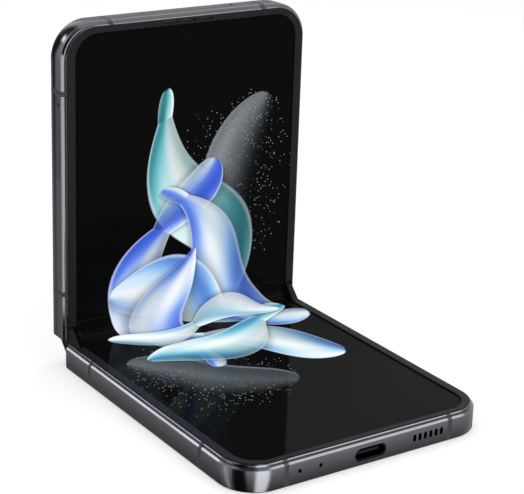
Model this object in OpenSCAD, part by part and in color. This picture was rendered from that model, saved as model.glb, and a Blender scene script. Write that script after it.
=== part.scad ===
// Foldable smartphone, half open: one half lies on its back and the other stands on it.
// Millimetres, +Z up. The screen of the standing half faces -Y, the socket's end faces -Y
// and the keys are on the +X side. The origin is under the middle of the whole phone.

/* [Body] */
// Width of both halves
body_w = 71.9; // [70:0.1:76]
// Length of one half, from the parting line to its far end
half_len = 82.6; // [80:0.1:90]
// Thickness of one half, from its back to the top of its bezel
body_t = 6.9; // [6.9:0.1:7.5]
// Radius of the far corners
corner_r = 9.4; // [8:0.1:11]
// Width of the metal rim
rim_w = 1.9; // [1.8:0.1:2.1]
// Gap from the parting line to the end of each half
parting_gap = 0.15; // [0.1:0.05:0.3]
// Thickness of the back glass
glass_t = 0.6; // [0.5:0.05:0.7]
// Thickness of the plate that carries the display
plate_t = 0.8; // [0.7:0.05:0.9]
// Radius of the back edge at the hinge end
near_round = 0.8; // [0.5:0.1:1]
// Width of an antenna break in the rim
antenna_w = 1.3; // [1:0.1:1.6]
// Antenna breaks in the long sides, from the parting line
antenna_near = 12.8; // [11:0.1:15]
// Antenna breaks in the long sides, from the far end
antenna_far = 17.2; // [16:0.1:18]
// Antenna breaks in the lower end, from the middle
antenna_low_x = 23.6; // [23:0.1:25]
// Antenna breaks in the top end, from the middle
antenna_top_x = 22.5; // [20:0.1:24]

/* [Display] */
// Thickness of the folding panel
panel_t = 0.5; // [0.4:0.05:0.55]
// Height of the bezel over the panel
bezel_proud = 0.4; // [0.3:0.05:0.5]
// Width of the bezel and its rim line, along the long sides
bezel_side = 3.3; // [3:0.1:3.6]
// Width of the bezel and its rim line, along the far end
bezel_end = 2.6; // [2.4:0.1:3]
// Distance from the parting line to the end of the bezel strips
bezel_start = 4; // [4:0.1:5]
// Radius of the bezel's inner corners
bezel_corner = 6.4; // [5:0.1:7]
// Radius of the panel's fold while the phone is half open
fold_r = 3; // [2.8:0.1:3.2]
// Length of the folding stretch, on each side of the parting line
fold_reach = 5; // [4.5:0.1:6]

/* [Hinge] */
// Distance from the parting plane to each fold axis
axis_off = 2.4; // [2.35:0.01:2.45]
// Depth of the fold axes under the panel's surface
axis_depth = 0.35; // [0.3:0.05:0.4]
// Outer radius of the spine
spine_r = 4.7; // [4.65:0.01:4.75]
// Wall of the spine cover
spine_wall = 0.4; // [0.3:0.05:0.42]
// Gap between the spine and the trough it turns in
trough_gap = 0.15; // [0.1:0.05:0.2]
// Thickness of the frame beside the ends of the spine
cheek_t = 0.85; // [0.8:0.05:1]
// Thickness of each end cap of the spine
cap_t = 1.68; // [1.5:0.05:1.8]
// Distance from the middle to each hinge module
module_x = 17.5; // [14:0.5:19]

/* [Gears] */
// Tooth size: pitch diameter over teeth
tooth_m = 0.2; // [0.198:0.001:0.202]
// Pressure angle
tooth_angle = 25; // [22:1:27]
// Teeth of each pinion
pinion_teeth = 10; // [10]
// Teeth of each idler
idler_teeth = 12; // [12]
// Teeth in a full turn of the toothed rails
rail_teeth = 38; // [38]
// Play between the flanks
backlash = 0.04; // [0.03:0.005:0.05]
// Depth of the idlers under the fold axes
idler_drop = 2.8; // [2.75:0.01:2.85]
// Width of the idlers
gear_w = 1.9; // [1.6:0.1:2.1]
// Width of the toothed rails
rail_w = 2.3; // [2:0.1:2.5]
// Radius of the gear pins
pin_r = 0.3; // [0.25:0.05:0.3]
// Running clearance of the moving parts of the hinge
run_gap = 0.05; // [0.04:0.01:0.06]

/* [Socket and sound] */
// Width of the charging socket
usb_w = 8.94; // [8.8:0.02:9]
// Height of the charging socket
usb_h = 3.2; // [3.1:0.02:3.26]
// Depth of the charging socket
usb_depth = 7.4; // [6.5:0.1:8]
// Wall of the charging socket's shell
usb_wall = 0.3; // [0.25:0.05:0.35]
// Number of slots over the loudspeaker
speaker_slots = 6; // [4:1:7]
// Distance between two slots
slot_pitch = 1.62; // [1.5:0.02:1.7]
// Width of a slot
slot_w = 0.95; // [0.8:0.05:1]
// Height of a slot
slot_h = 1.9; // [1.6:0.1:2.2]
// Middle of the row of slots, from the middle of the phone
speaker_x = 17; // [16:0.1:17.5]
// Radius of the microphone holes
mic_r = 0.5; // [0.4:0.05:0.6]
// First microphone hole in the lower end, from the middle
mic_far_x = 20; // [19:0.1:21]
// Second microphone hole in the lower end, from the middle
mic_near_x = 14.2; // [13:0.1:15]
// Microphone hole in the top end, from the middle
top_mic_x = 15; // [12:0.5:17]

/* [Keys and tray] */
// Length of the power key
power_len = 14.5; // [12:0.5:16]
// Middle of the power key, from the far end
power_far = 49.6; // [48:0.2:52]
// Length of the volume key
volume_len = 19; // [16:0.5:20]
// Middle of the volume key, from the far end
volume_far = 29.6; // [29:0.2:30.6]
// Height of both keys
key_h = 2.5; // [2.2:0.1:2.8]
// Height of the keys over the rim
key_proud = 0.35; // [0.2:0.05:0.5]
// Gap around the keys and the tray
key_gap = 0.08; // [0.06:0.01:0.12]
// Length of the tray's face
tray_len = 20.8; // [20:0.1:21.5]
// Height of the tray's face
tray_h = 2.3; // [2.1:0.1:2.5]
// Depth of the tray
tray_depth = 14.3; // [13:0.1:15]
// Radius of the eject hole
eject_r = 0.45; // [0.4:0.05:0.5]
// Eject hole, from the far end of the half
eject_far = 20.3; // [20:0.1:20.5]

/* [Cameras and back] */
// Distance from the keys' side to the rear cameras
camera_side = 11.45; // [11.25:0.05:12.5]
// Upper rear camera, from the far end
camera_end = 10.6; // [10.2:0.1:11.4]
// Distance between the rear cameras
camera_pitch = 14; // [13:0.1:15]
// Outer radius of a camera ring
ring_r = 5.8; // [5.4:0.1:6.2]
// Height of the camera rings over the back
ring_proud = 0.9; // [0.5:0.1:1.2]
// Radius of the front camera's window
front_r = 1.6; // [1.4:0.1:1.8]
// Front camera, from the far end
front_far = 6.3; // [6:0.1:6.6]
// Length of the dark window in the back, from the far end
window_len = 33.6; // [33:0.2:36]
// Distance from the tray's side to the cover display
cover_side = 6.7; // [6:0.1:10]
// Height of the cover display
cover_h = 21.5; // [19:0.5:22]

/* [Inside] */
// Thickness of the circuit boards
board_t = 0.65; // [0.5:0.05:0.7]
// Thickness of the batteries
battery_t = 3.4; // [3:0.1:3.6]
// Gap between neighbouring pieces on the plates
part_gap = 0.5; // [0.4:0.1:1]
// Length of the lower board, from the far end
lower_board_len = 20.5; // [20:0.1:22]
// Length of the main board
main_board_len = 31.2; // [30:0.1:32]
// Outer radius of the charging coil
coil_r = 20; // [18:0.5:21]
// Thickness of the charging coil
coil_t = 0.4; // [0.3:0.05:0.5]
// Radius of the screws' shanks
screw_r = 0.5; // [0.45:0.05:0.55]
// Radius of the screws' heads
head_r = 1; // [0.9:0.05:1.1]
// Height of the screws' heads
head_t = 0.35; // [0.3:0.05:0.4]

/* [Hidden] */
$fn = 72;
// Heights in a half, from its back
half_w = body_w / 2;
panel_top = body_t - bezel_proud;
plate_top = panel_top - panel_t;
plate_z = plate_top - plate_t;
axis_z = panel_top - axis_depth;
board_z = plate_z - board_t;
battery_z = plate_z - battery_t;
// Rim: edges of its profile, as inset from the outline and height
back_lift = 0.1;
edge_cut = 0.3;
chamfer_z = body_t - 1.34;
chamfer_in = 0.42;
chamfer_rise = 0.44;
line_in = 0.74;
line_w = 0.16;
line_z = body_t - 0.18;
glass_in = 0.5;
rim_profile = [
    [edge_cut, back_lift], [glass_in - 0.05, back_lift], [glass_in - 0.05, glass_t],
    [rim_w, glass_t], [rim_w, plate_top], [line_in + line_w + 0.1, plate_top],
    [line_in + line_w + 0.1, line_z], [line_in + line_w, line_z], [line_in, line_z - 0.2],
    [line_in, chamfer_z + chamfer_rise + 0.04], [chamfer_in, chamfer_z + chamfer_rise],
    [0, chamfer_z], [0, back_lift + edge_cut],
];
bezel_in = line_in + line_w + 0.15;
plate_bite = 0.3;
// Panel: edges under the bezel
panel_side = bezel_side - 0.55;
panel_end = bezel_end - 0.4;
panel_half = half_w - panel_side;
// Hinge: the fold axes at rest, with each side turned by half the fold
half_fold = 45;
trough_r = spine_r + trough_gap;
block_s = axis_off + trough_r + 0.95;
spine_in = spine_r - spine_wall;
spine_half = half_w - cheek_t - 0.12;
cover_half = spine_half - cap_t;
cover_top = axis_z - spine_r * sin(15);
bracket_r = spine_in - 0.08;
bracket_top = axis_z - 1.55;
upper_axis_y = -axis_off + 2 * axis_off * cos(half_fold);
upper_axis_z = axis_z + 2 * axis_off * sin(half_fold);
upper_y = upper_axis_y + axis_z;
upper_z = upper_axis_z - axis_off;
// Gears, in the plane across the spine: the lower half's side has negative places
pinion_r = tooth_m * pinion_teeth / 2;
idler_r = tooth_m * idler_teeth / 2;
rail_r = tooth_m * rail_teeth / 2;
addendum = 0.8 * tooth_m;
dedendum = 1.1 * tooth_m;
tooth_gap = 0.14;
axis_to_pinion = rail_r - pinion_r;
axis_to_idler = norm([axis_off - idler_r, idler_drop]);
pinion_turn = acos((pow(axis_to_pinion, 2) + pow(axis_to_idler, 2) - pow(idler_r + pinion_r, 2))
    / (2 * axis_to_pinion * axis_to_idler));
mesh_angle = atan2(-idler_drop, axis_off - idler_r) - pinion_turn;
pinion_v = -axis_off + axis_to_pinion * cos(mesh_angle);
pinion_w = axis_z + axis_to_pinion * sin(mesh_angle);
idler_w = axis_z - idler_drop;
rail_out = rail_r + dedendum + 0.18;
rail_in = rail_r - addendum;
// Angles of the toothed rails about their axes in the open phone, from the outward direction
rail_first = 4;
rail_last = 163;
tooth_first = 44;
// Stations of a hinge module along the spine, from its inner end
wall_t = 0.8;
rail_room = rail_w + 0.3;
idler_room = gear_w + 0.3;
rail_l_u = 1.2;
idler_u = rail_l_u + rail_room + wall_t;
rail_u_u = idler_u + idler_room + wall_t;
module_len = rail_u_u + rail_room + 1.2;
// Toothed gears in mesh at rest: the turn of the first tooth of each
mesh_side = atan2(pinion_w - idler_w, pinion_v + idler_r);
idler_l_turn = 0;
idler_u_turn = mate(idler_teeth, idler_l_turn, idler_teeth, 0);
pinion_l_turn = mate(idler_teeth, idler_l_turn, pinion_teeth, mesh_side);
pinion_u_turn = mate(idler_teeth, idler_u_turn, pinion_teeth, 180 - mesh_side);
rail_l_turn = ring_mate(pinion_teeth, pinion_l_turn, rail_teeth, mesh_angle);
rail_u_turn = ring_mate(pinion_teeth, pinion_u_turn, rail_teeth, 180 - mesh_angle);
// Wings: the plates that join the rails to the halves
wing_len = 5.6;
wing_s = axis_off + rail_in;
wing_end = block_s + 3.8;
wing_screw_s = block_s + 1.8;
wing_screw_u = [rail_l_u + rail_room / 2, rail_u_u + rail_room / 2];
// Lower half
usb_z = board_z - usb_h / 2;
sound_z = usb_z + 0.4;
usb_mouth = 0.35;
mic_x = [-mic_far_x, -mic_near_x];
mic_can = [3.2, 2.95];
port_r = 0.3;
lower_board_s = half_len - lower_board_len;
lower_board_x = [-half_w + 6.45, 10];
lower_screw_x = [-half_w + 8, 6.5];
// Parts on a board: edges across, edges from the board's start, and height
lower_chips = [[-24, -18, 4, 9, 0.9], [-13, -8.5, 4, 8.5, 0.7], [-4, 4, 1.2, 3.4, 0.8]];
main_chips = [[-11, 0, 4, 14, 1.1], [3, 12, 6, 14, 0.9], [-10, -3, 18, 26, 0.8],
    [1, 10, 18, 25, 0.9]];
speaker_box_len = 13.5;
speaker_box_x = [speaker_x - 5.8, half_w - 5.95];
speaker_box_s = [half_len - rim_w - 1.25 - speaker_box_len, half_len - rim_w - 1.25];
speaker_box_z = [1.1, plate_z];
snout_half = 6;
mesh_half = 5.6;
mesh_t = 0.3;
motor_r = 4;
motor_t = 3;
motor_at = [half_w - 9.45, speaker_box_s[0] - part_gap - motor_r];
lower_battery_s = 14.5;
lower_battery_len = motor_at[1] - motor_r - part_gap - lower_battery_s;
lower_battery_half = half_w - 6.95;
ferrite_t = 0.15;
coil_in = 9;
tongue_w = 6.7;
tongue_t = 0.7;
// Upper half
key_z = 3.3;
key_flange = 0.5;
key_reach = rim_w + 0.8;
tray_z = board_z - 0.6;
tray_plate_t = 0.6;
tray_s = half_len - eject_far + 2 - tray_len / 2;
tray_plate_len = 16;
tray_face_t = 1.3;
reader_s = [tray_s - tray_plate_len / 2 - 2.1, tray_s + tray_plate_len / 2 - 1];
reader_x = [-half_w + 2.6, -half_w + tray_depth + 1.2];
power_s = half_len - power_far;
volume_s = half_len - volume_far;
window_s = half_len - window_len;
camera_x = half_w - camera_side;
camera_s = [half_len - camera_end - camera_pitch, half_len - camera_end];
camera_body = 9.2;
main_board_s = [half_len - 8.4 - main_board_len, half_len - 8.4];
main_board_x = [-half_w + 6.45, camera_x - camera_body / 2 - 2.4];
upper_screw_s = [main_board_s[0] + 1.8, main_board_s[1] - 1.8];
upper_battery_s = 12.5;
upper_battery_len = min(main_board_s[0], reader_s[0]) - part_gap - upper_battery_s;
upper_battery_half = half_w - 5.95;
flash_x = camera_x - 8.6;
flash_r = 2.1;
cover_t = 1;
cover_edge = flash_x - flash_r - 1.5;
cover_w = cover_edge + half_w - cover_side;
cover_x = cover_edge - cover_w / 2;
cover_s = (camera_s[0] + camera_s[1]) / 2;
flash_board = [3.6, 0.9];
front_s = half_len - front_far;
front_body_r = 2.1;
front_body_t = 1.9;
top_mic_z = 2.4;
barrel_r = 3.6;
ring_wall = 1.5;
earpiece_x = [3.4, 15.4];
earpiece_t = 2;
earpiece_slots = [-5.35, -0.2, 4.65];
earpiece_slot = [4.3, 0.5];
earpiece_far = 1.75;
shield_x = 14;
shield_s = [main_board_s[0] + 2.5, main_board_s[1] - 3.2];
shield_h = 1.5;
shield_wall = 0.2;
switch_gap = 0.3;
dome_t = 1;
strip_t = 0.4;
card = [8.9, 12.4];
// Origin: middle between the lower half's far end and the rear cameras' rings
back_reach = upper_y + ring_proud;
origin_y = (half_len - back_reach) / 2;

// First tooth of a gear that meshes outside with another, along the line at angle line_a
function mate(teeth_a, turn_a, teeth_b, line_a) =
    line_a + 180 + (180 - teeth_a * (turn_a - line_a)) / teeth_b;
// First space of a ring that meshes inside with a pinion, along the line at angle line_a
function ring_mate(teeth_a, turn_a, teeth_b, line_a) =
    line_a + teeth_a * (turn_a - line_a) / teeth_b;
// Half angle of an involute tooth at radius r
function roll(r, base) = let (t = sqrt(max(0, pow(r / base, 2) - 1))) t * 180 / PI - atan(t);
function flank(r, pitch, play) =
    let (base = pitch * cos(tooth_angle))
    90 * tooth_m / (2 * pitch) - play * 90 / (PI * pitch)
    + roll(pitch, base) - roll(max(r, base), base);

// Places: the lower half, the spine and the upper half, each drawn as in the open phone
module at_origin() { translate([0, origin_y, 0]) children(); }
module in_lower() { at_origin() mirror([0, 1, 0]) children(); }
module in_spine() {
    at_origin() translate([0, -axis_off, axis_z]) rotate([half_fold, 0, 0])
        translate([0, axis_off, -axis_z]) children();
}
module in_upper() {
    at_origin() translate([0, upper_axis_y, upper_axis_z]) rotate([2 * half_fold, 0, 0])
        translate([0, -axis_off, -axis_z]) children();
}

// Profile in the plane across the phone, drawn out along X from x
module along_x(x, len) { translate([x, 0, 0]) rotate([90, 0, 90]) linear_extrude(len) children(); }
// Profile seen from the far end, drawn out along a half from s
module along_s(s, len) { translate([0, s + len, 0]) rotate([90, 0, 0]) linear_extrude(len) children(); }
module block(x, s, z) {
    translate([x[0], s[0], z[0]]) cube([x[1] - x[0], s[1] - s[0], z[1] - z[0]]);
}
module both_sides() {
    children();
    mirror([1, 0, 0]) children();
}

// Outline with round far corners
module tongue(half, near, far, r) {
    translate([-half, near]) square([2 * half, far - r - near]);
    translate([-(half - r), near]) square([2 * (half - r), far - near]);
    for (side = [-1, 1]) translate([side * (half - r), far - r]) circle(r);
}
module outline(inset, near = parting_gap) {
    tongue(half_w - inset, near, half_len - inset, corner_r - inset);
}
// Rectangle with round corners, about its middle
module round_rect(len, high, r) {
    square([len - 2 * r, high], center = true);
    square([len, high - 2 * r], center = true);
    for (i = [-1, 1], j = [-1, 1]) translate([i * (len / 2 - r), j * (high / 2 - r)]) circle(r);
}
// Slot with round ends that stands across its length
module upright_slot(wide, high) {
    square([wide, high - wide], center = true);
    for (j = [-1, 1]) translate([0, j * (high - wide) / 2]) circle(wide / 2);
}

// Profile of inset and height, swept round the long sides, the far corners and the far end
module swept(profile, near = parting_gap) {
    for (side = [0, 1]) mirror([side, 0, 0]) {
        along_s(near, half_len - corner_r - near)
            polygon([for (p = profile) [half_w - p[0], p[1]]]);
        translate([half_w - corner_r, half_len - corner_r, 0])
            rotate_extrude(angle = 90) polygon([for (p = profile) [corner_r - p[0], p[1]]]);
    }
    along_x(-(half_w - corner_r), 2 * (half_w - corner_r))
        polygon([for (p = profile) [half_len - p[0], p[1]]]);
}

// Involute gear with one tooth at angle turn; a ring is cut by one with negative play
module gear(teeth, turn, tip, root, play) {
    pitch = tooth_m * teeth / 2;
    rise = [for (k = [0:3]) max(root, pitch * cos(tooth_angle)) * (3 - k) / 3 + tip * k / 3];
    polygon([
        for (i = [0:teeth - 1]) let (mid = turn + i * 360 / teeth) each [
            root * dir(mid - flank(root, pitch, play)),
            for (k = [0:3]) rise[k] * dir(mid - flank(rise[k], pitch, play)),
            for (k = [3:-1:0]) rise[k] * dir(mid + flank(rise[k], pitch, play)),
            root * dir(mid + flank(root, pitch, play)),
        ]
    ]);
}
function dir(a) = [cos(a), sin(a)];
module ring(r_in, r_out) {
    difference() {
        circle(r_out);
        circle(r_in);
    }
}
// Wedge from angle a to angle b, up to 180 degrees apart
module wedge(a, b, r) {
    mid = (a + b) / 2;
    polygon([[0, 0], r * dir(a), 2 * r * dir((a + mid) / 2), 2 * r * dir(mid),
        2 * r * dir((b + mid) / 2), r * dir(b)]);
}

// ---- Halves: frame, breaks, glass, bezel and wings ----

// Places of the antenna breaks of a half
module break_strips(end_x) {
    for (s = [antenna_near, half_len - antenna_far])
        translate([-half_w - 1, s - antenna_w / 2]) square([2 * half_w + 2, antenna_w]);
    for (side = [-1, 1]) translate([side * end_x - antenna_w / 2, half_len - corner_r])
        square([antenna_w, corner_r + 1]);
}
module break_boxes(end_x) { linear_extrude(body_t) break_strips(end_x); }
module rim_only() {
    swept(rim_profile);
}
module antenna_breaks(end_x) {
    color("#3f4044") intersection() {
        rim_only();
        break_boxes(end_x);
    }
}
// Trough for the spine: round about the fold axis, flat towards the parting line
module trough() {
    len = spine_half + 0.12;
    along_x(-len, 2 * len) {
        translate([axis_off, axis_z]) circle(trough_r);
        translate([-1, axis_z - trough_r]) square([axis_off + 1, body_t]);
    }
}
// Outside of the rounded back edge at the parting line
module near_edge() {
    along_x(-half_w - 1, 2 * half_w + 2) translate([parting_gap, back_lift]) difference() {
        translate([-1, -1]) square([1 + near_round, 1 + near_round]);
        translate([near_round, near_round]) circle(near_round);
    }
}
// Places of the two hinge modules, with u counted from the inner end outwards
module hinge_modules() {
    both_sides() translate([module_x, 0, 0]) children();
}
module half_frame(end_x) {
    color("#55565b") difference() {
        union() {
            difference() {
                rim_only();
                break_boxes(end_x);
            }
            // Plate under the display, let into the rim but not into its breaks
            translate([0, 0, plate_z]) linear_extrude(plate_t) {
                outline(rim_w, block_s - 0.5);
                difference() {
                    outline(rim_w - plate_bite, block_s - 0.5);
                    break_strips(end_x);
                }
            }
            // Block that holds the trough, with its lip at the back
            block([-half_w + 0.6, half_w - 0.6], [parting_gap, block_s], [glass_t, plate_top]);
            block([-half_w + edge_cut, half_w - edge_cut], [parting_gap, 1.2],
                [back_lift, glass_t]);
            // Bars for the wings' screws
            hinge_modules() block([wing_len / 2, module_len - 1], [block_s - 1, wing_end + 0.5],
                [plate_z - 1.4, plate_z]);
        }
        trough();
        near_edge();
        // Seats of the wings
        hinge_modules() block([0.5, module_len - 0.5], [0, wing_end], [plate_z, body_t]);
        wing_screw_places() cylinder(r = screw_r, h = plate_z);
    }
}
module wing_screw_places() {
    for (side = [-1, 1], u = wing_screw_u)
        translate([side * (module_x + u), wing_screw_s, plate_z - 1.2]) children();
}
module wing_plate() {
    difference() {
        hinge_modules() block([0.55, module_len - 0.55], [wing_s, wing_end - run_gap],
            [plate_z, plate_top]);
        wing_screw_places() {
            cylinder(r = screw_r, h = body_t);
            translate([0, 0, 1.2 + plate_t - head_t]) cylinder(r = head_r, h = body_t);
        }
    }
}
// Toothed rail about a fold axis, in the plane across the spine, at rest
module rail(v, turn, out) {
    first = out > 0 ? -rail_first + half_fold : 180 + rail_first - half_fold;
    sweep = out > 0 ? -1 : 1;
    translate([v, axis_z]) {
        intersection() {
            ring(rail_r + dedendum, rail_out);
            wedge(first, first + sweep * (rail_last - rail_first), 2 * rail_out);
        }
        intersection() {
            ring(rail_in, rail_r + dedendum + 0.01);
            wedge(first, first + sweep * tooth_first, 2 * rail_out);
        }
        difference() {
            intersection() {
                ring(rail_in, rail_r + dedendum + 0.01);
                wedge(first + sweep * (tooth_first - 1),
                    first + sweep * (rail_last - rail_first), 2 * rail_out);
            }
            gear(rail_teeth, turn, rail_r + dedendum, rail_in, -backlash / 2);
        }
    }
}
module back_plate(near) {
    swept([[glass_in, glass_t], [glass_in, 0.22], [glass_in + 0.22, 0],
        [glass_in + 1, 0], [glass_in + 1, glass_t]], near);
    linear_extrude(glass_t) outline(glass_in + 0.9, near);
}
module bezel() {
    color("#2b2b2d") {
        difference() {
            union() {
                translate([0, 0, plate_top]) linear_extrude(body_t - plate_top - 0.12)
                    outline(bezel_in, bezel_start);
                linear_extrude(body_t) outline(bezel_in + 0.12, bezel_start);
            }
            translate([0, 0, -1]) linear_extrude(panel_top + 1)
                tongue(panel_half + 0.05, 0, half_len - panel_end + 0.05, corner_r - 2);
            linear_extrude(2 * body_t) tongue(half_w - bezel_side, 0, half_len - bezel_end,
                bezel_corner);
            block([-half_w, half_w], [0, half_len], [-1, plate_top]);
        }
    }
}
module panel() {
    translate([0, 0, plate_top]) linear_extrude(panel_t)
        tongue(panel_half, fold_reach + 0.05, half_len - panel_end, corner_r - 2);
}
module screws() {
    color("#9a9a9c") wing_screw_places() {
        cylinder(r = screw_r, h = 1.2 + plate_t - head_t);
        translate([0, 0, 1.2 + plate_t - head_t]) screw_head();
    }
}
module screw_head() {
    difference() {
        cylinder(r = head_r, h = head_t);
        for (turn = [0, 90]) rotate([0, 0, turn])
            translate([-head_r * 0.6, -0.12, head_t / 2]) cube([head_r * 1.2, 0.24, head_t]);
    }
}
module board_screw(at) {
    translate([at[0], at[1], board_z - head_t]) {
        mirror([0, 0, 1]) translate([0, 0, -head_t]) screw_head();
        translate([0, 0, head_t]) cylinder(r = screw_r, h = board_t + plate_t - 0.1);
    }
}
module board_holes(places) {
    for (at = places) translate([at[0], at[1], board_z - 1])
        cylinder(r = screw_r, h = 1 + board_t + plate_t - 0.1);
}

module chips(list, start) {
    for (c = list) block([c[0], c[1]], [start + c[2], start + c[3]], [board_z - c[4], board_z]);
}

// ---- Lower half ----

lower_screw_at = [for (x = lower_screw_x) [x, lower_board_s + 2.2]];
slot_x = [for (i = [0:speaker_slots - 1]) speaker_x + (i - (speaker_slots - 1) / 2) * slot_pitch];

module lower_frame() {
    in_lower() color("#55565b") difference() {
        half_frame(antenna_low_x);
        along_s(half_len - rim_w - 1, rim_w + 2) {
            translate([0, usb_z]) round_rect(usb_w + 0.1, usb_h + 0.1, usb_h / 2);
            for (x = slot_x) translate([x, sound_z]) upright_slot(slot_w, slot_h);
        }
        for (x = mic_x) translate([x, half_len + 1, sound_z]) rotate([90, 0, 0])
            cylinder(r = mic_r, h = rim_w + 2);
        board_holes(lower_screw_at);
    }
}
module lower_antenna_breaks() { in_lower() antenna_breaks(antenna_low_x); }
module lower_back_glass() { in_lower() color("#3a3b3f") back_plate(1.25); }
module lower_bezel() { in_lower() bezel(); }
module lower_display() { in_lower() color("#101012") panel(); }
module lower_wings() {
    color("#8f8f93") {
        in_lower() wing_plate();
        in_spine() hinge_modules() along_x(rail_l_u + 0.15, rail_w)
            rail(-axis_off, rail_l_turn, -1);
    }
}
module lower_battery() {
    in_lower() color("#2a2a2c") translate([0, lower_battery_s + lower_battery_len / 2, battery_z])
        linear_extrude(battery_t) round_rect(2 * lower_battery_half, lower_battery_len, 1.2);
}
module lower_board() {
    in_lower() color("#1e4a38") difference() {
        union() {
            block(lower_board_x, [lower_board_s, half_len - 2.6], [board_z, plate_z]);
            chips(lower_chips, lower_board_s);
        }
        board_holes(lower_screw_at);
    }
}
module usb_socket() {
    in_lower() color("#a9a9ad") {
        translate([0, 0, usb_z]) {
            difference() {
                along_s(half_len - usb_mouth - usb_depth, usb_depth)
                    round_rect(usb_w, usb_h, usb_h / 2 - 0.01);
                along_s(half_len - usb_mouth - usb_depth + 0.8, usb_depth)
                    round_rect(usb_w - 2 * usb_wall, usb_h - 2 * usb_wall,
                        usb_h / 2 - usb_wall - 0.01);
            }
            along_s(half_len - usb_mouth - usb_depth + 0.7, usb_depth - 1.6)
                square([tongue_w, tongue_t], center = true);
        }
    }
}
module loudspeaker() {
    in_lower() color("#232325") {
        block(speaker_box_x, speaker_box_s, speaker_box_z);
        block([speaker_x - snout_half, speaker_x + snout_half],
            [speaker_box_s[1], half_len - rim_w - mesh_t], [sound_z - 1.4, sound_z + 1.2]);
    }
}
module speaker_mesh() {
    in_lower() color("#18181a") block([speaker_x - mesh_half, speaker_x + mesh_half],
        [half_len - rim_w - mesh_t, half_len - rim_w], [sound_z - 1.2, sound_z + 1.1]);
}
module bottom_microphones() {
    in_lower() color("#b9a46a") for (x = mic_x)
        microphone(x, sound_z, [sound_z - 0.75, board_z]);
}
// Can of a microphone against the rim, with its port towards the hole
module microphone(x, port_z, z) {
    difference() {
        block([x - mic_can[0] / 2, x + mic_can[0] / 2],
            [half_len - rim_w - 0.05 - mic_can[1], half_len - rim_w - 0.05], z);
        translate([x, half_len, port_z]) rotate([90, 0, 0]) cylinder(r = port_r, h = rim_w + 1.5);
    }
}
module vibration_motor() {
    in_lower() color("#b4b4b8") translate([motor_at[0], motor_at[1], plate_z - motor_t])
        cylinder(r = motor_r, h = motor_t);
}
module charging_coil() {
    in_lower() color("#a8693c") translate([0, lower_battery_s + lower_battery_len / 2, battery_z])
        mirror([0, 0, 1]) {
            linear_extrude(ferrite_t) square([2 * coil_r + 2, lower_battery_len], center = true);
            translate([0, 0, ferrite_t]) linear_extrude(coil_t) ring(coil_in, coil_r);
        }
}
module lower_screws() {
    in_lower() {
        screws();
        color("#9a9a9c") for (at = lower_screw_at) board_screw(at);
    }
}

// ---- Hinge ----

// Lower side of the spine, in the plane across it
module spine_shape(r) {
    for (v = [-axis_off, axis_off]) translate([v, axis_z]) circle(r);
    translate([-axis_off, axis_z - r]) square([2 * axis_off, r]);
}
module under(w) { translate([-20, w - 40]) square([40, 40]); }

module spine_cover() {
    in_spine() color("#63646a") along_x(-cover_half, 2 * cover_half) intersection() {
        difference() {
            spine_shape(spine_r);
            spine_shape(spine_in);
        }
        under(cover_top);
    }
}
module spine_end_caps() {
    in_spine() color("#3b3b3f") both_sides() along_x(cover_half, cap_t) {
        intersection() {
            spine_shape(spine_r);
            under(cover_top);
        }
        intersection() {
            union() {
                for (v = [-axis_off, axis_off]) translate([v, axis_z])
                    circle(bezel_start - axis_off - 0.15);
                translate([-axis_off, axis_z - 2]) square([2 * axis_off, 4]);
            }
            under(panel_top + 0.25);
        }
    }
}
pinion_l_at = [pinion_v, pinion_w];
pinion_u_at = [-pinion_v, pinion_w];
idler_l_at = [-idler_r, idler_w];
idler_u_at = [idler_r, idler_w];
pinion_room = pinion_r + addendum + tooth_gap;
idler_space = idler_r + addendum + tooth_gap;
module hinge_brackets() {
    in_spine() color("#77787d") hinge_modules() difference() {
        along_x(0, module_len) intersection() {
            spine_shape(bracket_r);
            under(bracket_top);
        }
        along_x(rail_l_u, rail_room) rail_groove(-axis_off);
        along_x(rail_u_u, rail_room) rail_groove(axis_off);
        rod(pinion_l_at, pinion_room, rail_l_u, idler_u + idler_room);
        rod(pinion_u_at, pinion_room, idler_u, rail_u_u + rail_room);
        for (at = [idler_l_at, idler_u_at]) rod(at, idler_space, idler_u, idler_u + idler_room);
        gear_pin_rods();
    }
}
module rail_groove(v) {
    translate([v, axis_z]) ring(rail_in - 0.1, spine_r);
}
module rod(at, r, from, to) { along_x(from, to - from) translate(at) circle(r); }
module gear_pin_rods() {
    inner = idler_u - wall_t + 0.1;
    outer = rail_u_u - 0.1;
    rod(pinion_l_at, pin_r, 0.2, outer);
    rod(pinion_u_at, pin_r, inner, module_len - 0.2);
    rod(idler_l_at, pin_r, inner, outer);
    rod(idler_u_at, pin_r, inner, outer);
}
module gear_pins() { in_spine() color("#c2c2c6") hinge_modules() gear_pin_rods(); }
module gear_on_pin(at, teeth, turn, from, len) {
    pitch = tooth_m * teeth / 2;
    along_x(from, len) translate(at) difference() {
        gear(teeth, turn, pitch + addendum, pitch - dedendum, backlash / 2);
        circle(pin_r + run_gap);
    }
}
module lower_pinions() {
    in_spine() color("#b08d4a") hinge_modules() gear_on_pin(pinion_l_at, pinion_teeth,
        pinion_l_turn, rail_l_u + 0.15, rail_room + wall_t + gear_w);
}
module upper_pinions() {
    in_spine() color("#b08d4a") hinge_modules() gear_on_pin(pinion_u_at, pinion_teeth,
        pinion_u_turn, idler_u + 0.15, rail_room + wall_t + gear_w);
}
module lower_idlers() {
    in_spine() color("#b9994f") hinge_modules() gear_on_pin(idler_l_at, idler_teeth,
        idler_l_turn, idler_u + 0.15, gear_w);
}
module upper_idlers() {
    in_spine() color("#b9994f") hinge_modules() gear_on_pin(idler_u_at, idler_teeth,
        idler_u_turn, idler_u + 0.15, gear_w);
}
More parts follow.
